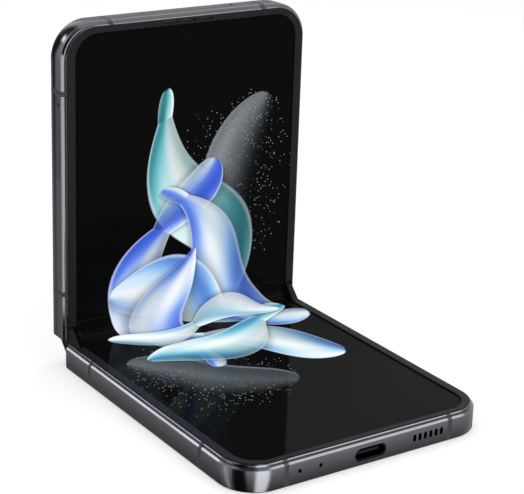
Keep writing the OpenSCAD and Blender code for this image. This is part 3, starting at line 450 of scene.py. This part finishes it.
def screen(name, place_of):
    """The panel's finish, with the picture at the place that place_of gives."""
    made, tree, shader, _ = finish_of(name, Base_Color=linear("#101011"), Roughness=0.05,
                                      Specular_IOR_Level=0.015, Emission_Strength=1.0)
    place = place_of(tree)
    glowing = add(tree, "Group", place, node_tree=picture)
    tree.links.new(glowing.outputs[0], shader.inputs["Emission Color"])
    film = add(tree, "TexNoise", Vector=place, Scale=1 / (2.9 * mm), Detail=2.0)
    bump = add(tree, "Bump", Strength=0.015, Distance=0.05 * mm, Height=film)
    tree.links.new(bump.outputs[0], shader.inputs["Normal"])
    return made


def flat_place(axis, start):
    """A place on a flat stretch: x, and the distance from the fold along the given axis."""
    def made(tree):
        parts = add(tree, "SeparateXYZ", add(tree, "TexCoord").outputs["Object"])
        return add(tree, "CombineXYZ", parts.outputs[0],
                   add(tree, "SUBTRACT", parts.outputs[axis], start)).outputs[0]
    return made


fold_y, fold_z = 37.2779 * mm, 7.1441 * mm
dress(screen("polymer_film_lower", flat_place(1, fold_y)), "lower_display")
dress(screen("polymer_film_upper", flat_place(2, fold_z)), "upper_display")


# ---------------------------------------------------------------- bend of the screen
# Where the panel crosses the hinge it rolls on a radius of 3 mm, and its steel backing thins
# out, so that the film bends alone. It is two sheets that meet in the middle of the spine,
# one on the side of each half.
panel_half, panel_t, bare_t, bend_r, reach = 33.2 * mm, 0.5 * mm, 0.2 * mm, 3 * mm, 5 * mm
panel_top = 6.5 * mm
quarter = bend_r * math.pi / 4
bend_y, bend_z = fold_y - quarter, panel_top + bend_r
flat_steps, arc_steps, across_steps = 5, 16, 24
fold_screen = screen("polymer_film_bend",
                     lambda tree: add(tree, "UVMap", uv_map="opened").outputs[0])


def point_out(mesh):
    """Turns a closed mesh's faces outwards."""
    shape = bmesh.new()
    shape.from_mesh(mesh)
    bmesh.ops.recalc_face_normals(shape, faces=shape.faces)
    shape.to_mesh(mesh)
    shape.free()


def fold_sheet(name, upper):
    """One side of the bend, from its flat panel to the middle of the spine: its line in the
    plane across the phone, drawn out along X, with the panel's thickness below. It thins from
    the panel's to the bare film's over half of the arc."""
    line = [(fold_y - reach + (reach - quarter) * k / flat_steps, panel_top, 0.0)
            for k in range(flat_steps)]
    line += [(bend_y + bend_r * math.sin(a), bend_z - bend_r * math.cos(a), a)
             for a in (math.pi / 4 * k / arc_steps for k in range(arc_steps + 1))]
    steps, rows = across_steps, len(line)
    verts, flat = [], []
    for side in (0, 1):
        for y, z, a in line:
            s = y - fold_y if a == 0 else -bend_r * (math.pi / 4 - a)
            t = panel_t - (panel_t - bare_t) * min(1, a / (math.pi / 8))
            y, z = y + side * t * math.sin(a), z - side * t * math.cos(a)
            for i in range(steps + 1):
                x = panel_half * (2 * i / steps - 1)
                verts.append((x, bend_y + bend_z - z, bend_z + bend_y - y) if upper else (x, y, z))
                flat.append((x, -s if upper else s))
    row, under = steps + 1, rows * (steps + 1)
    faces = []
    for j in range(rows - 1):
        for i in range(steps):
            a, b = j * row + i, (j + 1) * row + i
            faces += [(a, a + 1, b + 1, b), (under + a, under + b, under + b + 1, under + a + 1)]
        for i in (0, steps):
            a, b = j * row + i, (j + 1) * row + i
            faces.append((a, b, under + b, under + a))
    for i in range(steps):
        for a in (i, (rows - 1) * row + i):
            faces.append((a, a + 1, under + a + 1, under + a))
    made = mesh_piece(name, verts, faces, fold_screen, smooth=True)
    layer = made.data.uv_layers.new(name="opened")
    for loop in made.data.loops:
        layer.data[loop.index].uv = flat[loop.vertex_index]
    point_out(made.data)
    return made


fold_lower = fold_sheet("fold_lower", False)
fold_upper = fold_sheet("fold_upper", True)
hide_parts("display_fold")
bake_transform(fold_lower)
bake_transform(fold_upper)


# ---------------------------------------------------------------- backing of the bend
# A strip of black polyester film lies on the spine's brackets under the middle of the bend.
# Die-cut and dull, it shows only as a dark line where the sheets roll apart.
moulded = grained("moulded_polycarbonate", ("#151517", "#1e1e20"), roughness=0.5,
                  grain=0.67 * mm, bump=0.3)
film_half, film_t, film_drop = 0.6 * mm, 0.06 * mm, 0.8 * mm
downward, along_bend = Vector((0, 1, -1)).normalized(), Vector((0, 1, 1)).normalized()
core = Vector((0, bend_y, bend_z)) + downward * (bend_r + film_drop)
corners = []
for depth in (0.0, film_t):
    for side in (-1, 1):
        spot = core + along_bend * side * film_half + downward * depth
        corners += [(x, spot.y, spot.z) for x in (-panel_half, panel_half)]
film = mesh_piece("fold_backing", corners, [(0, 1, 3, 2), (4, 6, 7, 5), (0, 4, 5, 1),
                                            (2, 3, 7, 6), (0, 2, 6, 4), (1, 5, 7, 3)], moulded)
point_out(film.data)
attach(film, "hinge_spine")


# ---------------------------------------------------------------- keys
# The power key and the volume key are aluminium, milled, bead blasted fine and anodised with
# the rims. They rock on snap domes, and look duller than the polish around them.
key_colours, key_finish = ("#5d5e63", "#65666b"), {
    "grain": 0.11 * mm, "bump": 0.06, "cloud": 11 * mm, "Metallic": 1.0}
dress(grained("blasted_aluminium", key_colours, roughness=0.26, edge=0.12 * mm, **key_finish),
      "power_key", "volume_key")


# ---------------------------------------------------------------- card tray
# The tray is die-cast aluminium. Only its face, which closes the slot, is blasted and
# anodised; the plate behind it is bare, and paler.
tray_metal = grained("die_cast_aluminium", key_colours, roughness=0.26, edge=0.12 * mm,
                     **key_finish)
tree, tinted, dyed = reopened(tray_metal, "Base Color")
face_x = -34.4 * mm
place = add(tree, "TexCoord").outputs["Object"]
inner = add(tree, "GREATER_THAN", add(tree, "SeparateXYZ", place), face_x)
bare = add(tree, "Mix", inner, dyed, linear("#8f9094"), data_type="RGBA")
tree.links.new(bare.outputs["Result"], tinted)
dress(tray_metal, "sim_tray")


# ---------------------------------------------------------------- charging socket
# A shell of drawn stainless steel, blackened, with a tongue of black resin on which lie two
# rows of gilt contacts. It sits deep in the rim, so it looks black with a hint of gold.
def grown(name, material, build, sizes):
    """A mesh made by a geometry tree with those sizes as its named inputs. build draws the
    shape from them; the copies are made real and get their material."""
    group = bpy.data.node_groups.new(name + "_tree", "GeometryNodeTree")
    for label, value in sizes.items():
        kind = {float: "NodeSocketFloat", int: "NodeSocketInt",
                tuple: "NodeSocketVector"}[type(value)]
        group.interface.new_socket(label, in_out="INPUT", socket_type=kind)
    group.interface.new_socket("Geometry", in_out="OUTPUT", socket_type="NodeSocketGeometry")
    given = group.nodes.new("NodeGroupInput")
    inputs = {label: given.outputs[label] for label in sizes}
    real = add(group, "GeometryNodeRealizeInstances", build(group, inputs))
    coat = add(group, "GeometryNodeSetMaterial", Geometry=real, Material=material)
    group.links.new(coat.outputs[0], group.nodes.new("NodeGroupOutput").inputs[0])
    seed = bpy.data.objects.new(name + "_seed", bpy.data.meshes.new(name + "_seed"))
    bpy.context.scene.collection.objects.link(seed)
    grow = seed.modifiers.new("grow", "NODES")
    grow.node_group = group
    for item in group.interface.items_tree:
        if item.in_out == "INPUT":
            grow[item.identifier] = sizes[item.name]
    ready = seed.evaluated_get(bpy.context.evaluated_depsgraph_get())
    mesh = bpy.data.meshes.new_from_object(ready)
    seed.modifiers.remove(grow)
    bpy.data.objects.remove(seed)
    mesh.name = name
    made = bpy.data.objects.new(name, mesh)
    bpy.context.scene.collection.objects.link(made)
    return made


def contact_rows(group, size):
    """Two rows of pads on the faces of the tongue."""
    row = add(group, "GeometryNodeMeshLine", mode="END_POINTS", Count=size["Pads"],
              Start_Location=size["First"], Offset=size["Last"])
    top = add(group, "GeometryNodeInstanceOnPoints", Points=row,
              Instance=add(group, "GeometryNodeMeshCube", Size=size["Pad"]))
    below = add(group, "GeometryNodeTransform", Geometry=top, Translation=size["Down"])
    both = group.nodes.new("GeometryNodeJoinGeometry")
    for part in (top, below):
        group.links.new(part.outputs[0], both.inputs[0])
    return both


dress(grained("blackened_steel", ("#26262a", "#34343a"), roughness=0.32,
              grain=0.56 * mm, bump=0.12, Metallic=1.0), "usb_socket")
# Hard gold over nickel, electroplated: a soft yellow glint
gold = grained("gilt_contact", ("#c9a45a", "#dcbc78"), roughness=0.25, grain=0.42 * mm,
               bump=0.1, Metallic=1.0)
tongue_z, tongue_half, pad_y, row_half = 2.95 * mm, 0.35 * mm, -42.6 * mm, 2.75 * mm
pads = grown("socket_contacts", gold, contact_rows, {
    "Pads": 12, "Pad": (0.25 * mm, 1.4 * mm, 0.06 * mm), "Down": (0.0, 0.0, -2 * tongue_half),
    "First": (-row_half, pad_y, tongue_z + tongue_half),
    "Last": (row_half, pad_y, tongue_z + tongue_half)})
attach(pads, "lower_half")


# ---------------------------------------------------------------- loudspeaker mesh
# Behind the six slots a plain weave of blackened steel wire keeps dust off the loudspeaker.
# Real wire is about 0.03 mm thick; it is drawn at 0.1 mm, so that the weave shows close up.
def weave(group, size):
    """Wires along X and wires along Z that pass over and under each other."""
    place = group.nodes.new("GeometryNodeInputPosition")
    parts = add(group, "SeparateXYZ", add(group, "VectorMath", place, size["Corner"],
                                          operation="SUBTRACT"))
    waves = [add(group, "COSINE", add(group, "MULTIPLY", parts.outputs[axis], add(
        group, "DIVIDE", math.pi, size["Pitch"]))) for axis in (0, 2)]
    over = add(group, "MULTIPLY", add(group, "MULTIPLY", *waves), size["Wire"])
    ring = add(group, "GeometryNodeCurvePrimitiveCircle", Resolution=6, Radius=size["Wire"])
    both = group.nodes.new("GeometryNodeJoinGeometry")
    for end, first_count, line_offset, bends, sign in (
            ("End X", "Rows", "Step Z", "Bends X", 1.0),
            ("End Z", "Columns", "Step X", "Bends Z", -1.0)):
        wire = add(group, "GeometryNodeCurvePrimitiveLine", Start=(0, 0, 0), End=size[end])
        wire = add(group, "GeometryNodeResampleCurve", Curve=wire, Count=size[bends])
        line = add(group, "GeometryNodeMeshLine", Count=size[first_count],
                   Start_Location=size["Corner"], Offset=size[line_offset])
        all_wires = add(group, "GeometryNodeRealizeInstances", add(
            group, "GeometryNodeInstanceOnPoints", Points=line, Instance=wire))
        lift = add(group, "CombineXYZ", Y=add(group, "MULTIPLY", over, sign))
        bent_wires = add(group, "GeometryNodeSetPosition", Geometry=all_wires, Offset=lift)
        tube = add(group, "GeometryNodeCurveToMesh", Curve=bent_wires, Profile_Curve=ring,
                   Fill_Caps=True)
        group.links.new(tube.outputs[0], both.inputs[0])
    return both


low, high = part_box("speaker_mesh")
wire_r, pitch = 0.05 * mm, 0.28 * mm
wires_x, wires_z = round((high.x - low.x) / pitch) - 1, round((high.z - low.z) / pitch) - 1
corner = ((low.x + high.x - wires_x * pitch) / 2, (low.y + high.y) / 2,
          (low.z + high.z - wires_z * pitch) / 2)
# Its black oxide makes the wire a dull near-black, less of a metal to the eye
wire_steel = grained("woven_steel_wire", ("#101011", "#1c1c1e"), roughness=0.45,
                     grain=0.3 * mm, bump=0.1, Metallic=0.7)
bends = 4
speaker_weave = grown("speaker_weave", wire_steel, weave, {
    "Pitch": pitch, "Wire": wire_r, "Corner": corner,
    "Rows": wires_z + 1, "Columns": wires_x + 1,
    "Step X": (pitch, 0.0, 0.0), "Step Z": (0.0, 0.0, pitch),
    "End X": (wires_x * pitch, 0.0, 0.0), "End Z": (0.0, 0.0, wires_z * pitch),
    "Bends X": bends * wires_x + 1, "Bends Z": bends * wires_z + 1})
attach(speaker_weave, "lower_half")
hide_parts("speaker_mesh")


# ---------------------------------------------------------------- loudspeaker, earpiece, cells
# The two speakers are boxes of moulded black polycarbonate, and each cell is a pouch in black
# polyester film. All are matt and dark; none shows while the phone is whole.
dress(moulded, "loudspeaker", "earpiece", "lower_battery", "upper_battery")


# ---------------------------------------------------------------- microphones
# Each microphone is a chip in a drawn brass can, gilt and soldered down against the rim, with
# its port towards the hole. Through the hole it looks black.
dress(grained("gilt_brass", ("#b89c58", "#c9ae6c"), roughness=0.35, grain=0.71 * mm,
              bump=0.1, Metallic=1.0), "bottom_microphones", "top_microphone")


# ---------------------------------------------------------------- motor, card reader, shield
# Deep-drawn and folded boxes of stainless steel, left as rolled: grey and half bright, with
# a fine drawn grain.
dress(grained("rolled_steel", ("#77787b", "#8a8b8e"), roughness=0.34, grain=0.56 * mm,
              bump=0.12, Metallic=1.0), "vibration_motor", "sim_reader", "board_shield")


# ---------------------------------------------------------------- back glasses
# Each back is strengthened glass with a graphite print inside. Its outside is etched to a
# satin, drawn at 0.14 mm to show, which spreads highlights. Its edge is ground round, and
# flake in the print makes it a quarter metal to the eye.
dress(grained("etched_glass", ("#3c3d42", "#43444a"), roughness=0.36, grain=0.14 * mm,
              bump=0.12, cloud=33 * mm, edge=0.15 * mm, Specular_IOR_Level=0.5, Metallic=0.25),
      "lower_back_glass", "upper_back_glass")


# ---------------------------------------------------------------- back window, cover display
# A polished sheet of the same glass over a black print lies over the cameras and a small
# display, which is off: a shade blacker than the print round it.
def dark_glass(name, colours, roughness):
    """A polished sheet over a dark print, with the faint waviness of about 22 mm of its draw."""
    return grained(name, colours, roughness, grain=22 * mm, bump=0.02, Coat_Weight=0.6,
                   Coat_Roughness=0.02)


window_glass = dark_glass("printed_glass", ("#08080a", "#0d0d10"), roughness=0.06)
tree, tinted, printed = reopened(window_glass, "Base Color")
low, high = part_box("cover_display")
display_edge = 0.6 * mm
off = add(tree, "VectorMath", add(tree, "TexCoord").outputs["Object"], (low + high) / 2,
          operation="SUBTRACT")
parts = add(tree, "SeparateXYZ", add(tree, "VectorMath", off, operation="ABSOLUTE"))
inside = add(tree, "MULTIPLY",
             add(tree, "LESS_THAN", parts.outputs[0], (high.x - low.x) / 2 - display_edge),
             add(tree, "LESS_THAN", parts.outputs[2], (high.z - low.z) / 2 - display_edge))
shaded = add(tree, "Mix", inside, printed, linear("#050609"), data_type="RGBA")
tree.links.new(shaded.outputs["Result"], tinted)
dress(window_glass, "back_window")
dress(dark_glass("display_glass", ("#04050a", "#070910"), roughness=0.05), "cover_display")


# ---------------------------------------------------------------- rear cameras
# Two cameras stand in rings of aluminium, turned, polished and anodised with the rims. Under
# each flat sapphire cover black baffles step down to the coated front element.
dress(grained("turned_aluminium", key_colours, roughness=0.15, edge=0.1 * mm, **key_finish),
      "camera_rings")
dress(dark_glass("lens_glass", ("#050507", "#0a0a10"), roughness=0.04), "rear_camera_modules")


def lathe(name, profile, places, material, body, steps=48):
    """Solids turned about lines along Y at those (x, z) places. The profile runs from the
    front of the axis to its back, as (radius, y); ends on the axis close it."""
    verts, faces = [], []
    for cx, cz in places:
        rings = []
        for r, y in profile:
            count = 1 if r == 0 else steps
            rings.append((len(verts), count))
            verts += [(cx + r * math.cos(2 * math.pi * k / steps), y,
                       cz + r * math.sin(2 * math.pi * k / steps)) for k in range(count)]
        for (a, na), (b, nb) in zip(rings, rings[1:]):
            for k in range(steps):
                n = (k + 1) % steps
                if na == 1:
                    faces.append((a, b + k, b + n))
                elif nb == 1:
                    faces.append((a + k, b, a + n))
                else:
                    faces.append((a + k, b + k, b + n, a + n))
    made = mesh_piece(name, verts, faces, material)
    point_out(made.data)
    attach(made, body)
    return made


low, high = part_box("camera_lenses")
lens_r, outer = (high.x - low.x) / 2, high.y
lens_at = [((low.x + high.x) / 2, z) for z in (low.z + lens_r, high.z - lens_r)]
cover_t, cover_edge = 0.3 * mm, 0.08 * mm
# Sapphire, sawn and polished: clear, with a trace of haze
sapphire, tree, shader, place = finish_of("polished_sapphire", Base_Color=linear("#fbfbff"),
                                          IOR=1.5, Transmission_Weight=1.0)
haze = add(tree, "TexNoise", Vector=place, Scale=1 / (3.3 * mm), Detail=2.0)
veil = add(tree, "MapRange", haze, 0.0, 1.0, 0.0, 0.03)
tree.links.new(veil.outputs[0], shader.inputs["Roughness"])
covers = lathe("camera_covers", [(0, outer), (lens_r - cover_edge, outer),
                                 (lens_r, outer - cover_edge), (lens_r, outer - cover_t),
                                 (0, outer - cover_t)], lens_at, sapphire, "upper_half")
# Baffles of black polycarbonate, moulded dull, with the sealer's faint coat over them; then
# the radius and depth of each step
barrel_black = dark_glass("baffle_polycarbonate", ("#070708", "#0d0d0f"), roughness=0.4)
steps_down = [(4.2, 0.35), (3.4, 0.4), (3.3, 0.55), (2.7, 0.6), (2.6, 0.75), (2.1, 0.8),
              (2.0, 1.1), (0, 1.1)]
barrels = lathe("camera_barrels", [(r * mm, outer - d * mm) for r, d in steps_down[::-1]]
                + [(steps_down[0][0] * mm, low.y), (0, low.y)], lens_at, barrel_black,
                "upper_half")
# Glass with an antireflection coating, vapour deposited: black from the front, violet aslant.
# The violet is the coating's reflection, painted into its colour by how squarely it faces.
coated, tree, shader, place = finish_of("coated_glass", Roughness=0.03, Coat_Weight=1.0,
                                        Coat_Roughness=0.01)
# painted reflection: the colour turns from black to violet as the glass turns away from view
painted_reflection_facing = add(tree, "LayerWeight", Blend=0.35)
tint = add(tree, "ValToRGB", painted_reflection_facing.outputs["Facing"], stops=[(0, "#05060c"), (1, "#2c1c4e")])
dust = add(tree, "TexNoise", Vector=place, Scale=1 / (2 * mm), Detail=2.0)
tone = add(tree, "Mix", add(tree, "MULTIPLY", dust, 0.2), tint, linear("#0f2b2a"),
           data_type="RGBA")
tree.links.new(tone.outputs["Result"], shader.inputs["Base Color"])
element_r, element_rise, element_y = 1.9 * mm, 0.35 * mm, outer - 1.05 * mm
dome = [(element_r * math.sin(math.pi / 2 * k / 8),
         element_y + element_rise * math.cos(math.pi / 2 * k / 8)) for k in range(9)]
elements = lathe("camera_elements", [(0, dome[0][1])] + dome[1:] + [(0, element_y)], lens_at,
                 coated, "upper_half")
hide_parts("camera_lenses")


# ---------------------------------------------------------------- front camera
# A module behind a punched hole in the panel, with a small coated lens in a black moulded
# mouth. It shows as a dark dot with a fainter middle.
pinhole, tree, shader, place = finish_of("coated_front_lens", Roughness=0.08,
                                         Specular_IOR_Level=0.06)
low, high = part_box("front_camera")
mouth_r = 2 * mm
away = add(tree, "VectorMath", place, (0, low.y, (low.z + high.z) / 2), operation="DISTANCE")
tint = add(tree, "ValToRGB", add(tree, "MULTIPLY", away, 1 / mouth_r),
           stops=[(0.0, "#10131f"), (0.2, "#0a0b12"), (0.24, "#020203"), (0.62, "#030304"),
                  (0.7, "#0a0a0b")])
tree.links.new(tint.outputs["Color"], shader.inputs["Base Color"])
dress(pinhole, "front_camera")


# ---------------------------------------------------------------- flash
# A clear acrylic lens, moulded with fine facets of about 0.7 mm, over a yellow phosphor. The
# facets break its highlights and leave it a pale cream.
phosphor, tree, shader, place = finish_of("faceted_acrylic", Roughness=0.25, Coat_Weight=0.8,
                                          Coat_Roughness=0.05)
facets = add(tree, "TexVoronoi", Vector=place, Scale=1 / (0.67 * mm))
tint = add(tree, "Mix", facets, linear("#e6dcae"), linear("#f4f1e2"), data_type="RGBA")
tree.links.new(tint.outputs["Result"], shader.inputs["Base Color"])
bump = add(tree, "Bump", Strength=0.3, Distance=0.05 * mm, Height=facets)
tree.links.new(bump.outputs[0], shader.inputs["Normal"])
dress(phosphor, "flash_lamp")


# ---------------------------------------------------------------- spine
# The hinge's outer cover is one aluminium channel, extruded, polished and anodised a shade
# darker than the rims. It shows behind, and all of it when the phone is shut.
dress(grained("extruded_aluminium", ("#54555a", "#5c5d62"), roughness=0.24, edge=0.1 * mm,
              **key_finish), "spine_cover")


# ---------------------------------------------------------------- end caps
# Caps of black glass-filled nylon, moulded with a coarse matt grain, close the spine's ends.
# Between the halves they are the darkest thing at the phone's sides.
dress(grained("matt_nylon", ("#0e0e10", "#1a1a1c"), roughness=0.5, grain=0.19 * mm,
              bump=0.25, Specular_IOR_Level=0.1), "spine_end_caps")


# ---------------------------------------------------------------- hinge brackets and wings
# Brackets, and the wings that carry each half, are metal injection moulded steel, sized by
# milling and greased: grey and half bright, with a fine mill grain.
dress(grained("milled_steel", ("#8b8c90", "#9d9ea2"), roughness=0.34, grain=0.45 * mm,
              bump=0.1, Metallic=1.0), "hinge_brackets", "lower_wings", "upper_wings")


# ---------------------------------------------------------------- gears
# Pinions and idlers are free-cutting brass, hobbed and greased. They are the only warm colour
# inside the hinge.
dress(grained("hobbed_brass", ("#a98a4c", "#bc9c5a"), roughness=0.3, grain=0.38 * mm,
              bump=0.1, Metallic=1.0),
      "lower_pinions", "upper_pinions", "lower_idlers", "upper_idlers")


# ---------------------------------------------------------------- pins, screws, key switches
# The pins are drawn steel, ground bright; the screws and the snap domes of the switches are
# steel with a bright nickel plate.
dress(grained("ground_steel", ("#b9babd", "#cbccd0"), roughness=0.2, grain=0.33 * mm,
              bump=0.1, Metallic=1.0),
      "gear_pins", "lower_screws", "upper_screws", "side_key_switches")


# ---------------------------------------------------------------- boards
# Fibreglass laminate with copper tracks under green solder mask, glossy from curing. What
# stands off the boards is black epoxy, moulded dull.
def board_finish(name, axis, sign, start):
    """Tracks about 1 mm apart; the height off the board is sign times the place along that
    axis, plus start."""
    made, tree, shader, place = finish_of(name, Coat_Weight=0.3)
    tracks = add(tree, "TexBrick", Vector=place, Scale=1 / (1.1 * mm), Color1=linear("#15402f"),
                 Color2=linear("#1a4c39"), Mortar=linear("#24604a"), Mortar_Size=0.03)
    rise = add(tree, "MULTIPLY_ADD", add(tree, "SeparateXYZ", place).outputs[axis], sign, start)
    chip = add(tree, "GREATER_THAN", rise, 0.02 * mm)
    tint = add(tree, "Mix", chip, tracks, linear("#141416"), data_type="RGBA")
    tree.links.new(tint.outputs["Result"], shader.inputs["Base Color"])
    gloss = add(tree, "MapRange", chip, 0.0, 1.0, 0.35, 0.6)
    tree.links.new(gloss.outputs[0], shader.inputs["Roughness"])
    bump = add(tree, "Bump", Strength=0.2, Distance=0.03 * mm, Height=tracks.outputs["Fac"])
    tree.links.new(bump.outputs[0], shader.inputs["Normal"])
    return made


board_z = 4.55 * mm
dress(board_finish("solder_mask_lower", 2, -1.0, board_z), "lower_board")
dress(board_finish("solder_mask_main", 1, 1.0, board_z - upper_back_y), "main_board")


# ---------------------------------------------------------------- charging coil
# A flat spiral of enamelled copper wire, wound in one layer and glued to a sheet of black
# ferrite behind the lower battery. The enamel leaves it a dark, warm copper.
def winding(group, size):
    """A flat spiral of round wire."""
    spiral = add(group, "GeometryNodeCurveSpiral", Resolution=56, Rotations=size["Turns"],
                 Start_Radius=size["Inner"], End_Radius=size["Outer"], Height=0.0)
    wire = add(group, "GeometryNodeCurvePrimitiveCircle", Resolution=8, Radius=size["Wire"])
    tube = add(group, "GeometryNodeCurveToMesh", Curve=spiral, Profile_Curve=wire,
               Fill_Caps=True)
    return add(group, "GeometryNodeTransform", Geometry=tube, Translation=size["Middle"])


copper = grained("enamelled_copper", ("#9c5f38", "#b0714a"), roughness=0.35,
                 grain=0.67 * mm, bump=0.1, Metallic=1.0)
low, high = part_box("charging_coil")
ferrite_t, wire_half, coil_in, coil_out = 0.15 * mm, 0.19 * mm, 9.2 * mm, 20 * mm
glue = 0.01 * mm
coil = grown("charging_winding", copper, winding, {
    "Turns": 24.0, "Inner": coil_in, "Outer": coil_out - wire_half, "Wire": wire_half,
    "Middle": (0.0, (low.y + high.y) / 2, low.z + wire_half + glue)})
sheet = mesh_piece("ferrite_sheet",
                   [(x, y, z) for z in (high.z - ferrite_t, high.z) for y in (low.y, high.y)
                    for x in (low.x, high.x)],
                   [(0, 2, 3, 1), (4, 5, 7, 6), (0, 1, 5, 4), (2, 6, 7, 3), (0, 4, 6, 2),
                    (1, 3, 7, 5)], moulded)
for part in (coil, sheet):
    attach(part, "lower_half")
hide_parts("charging_coil")


low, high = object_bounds()
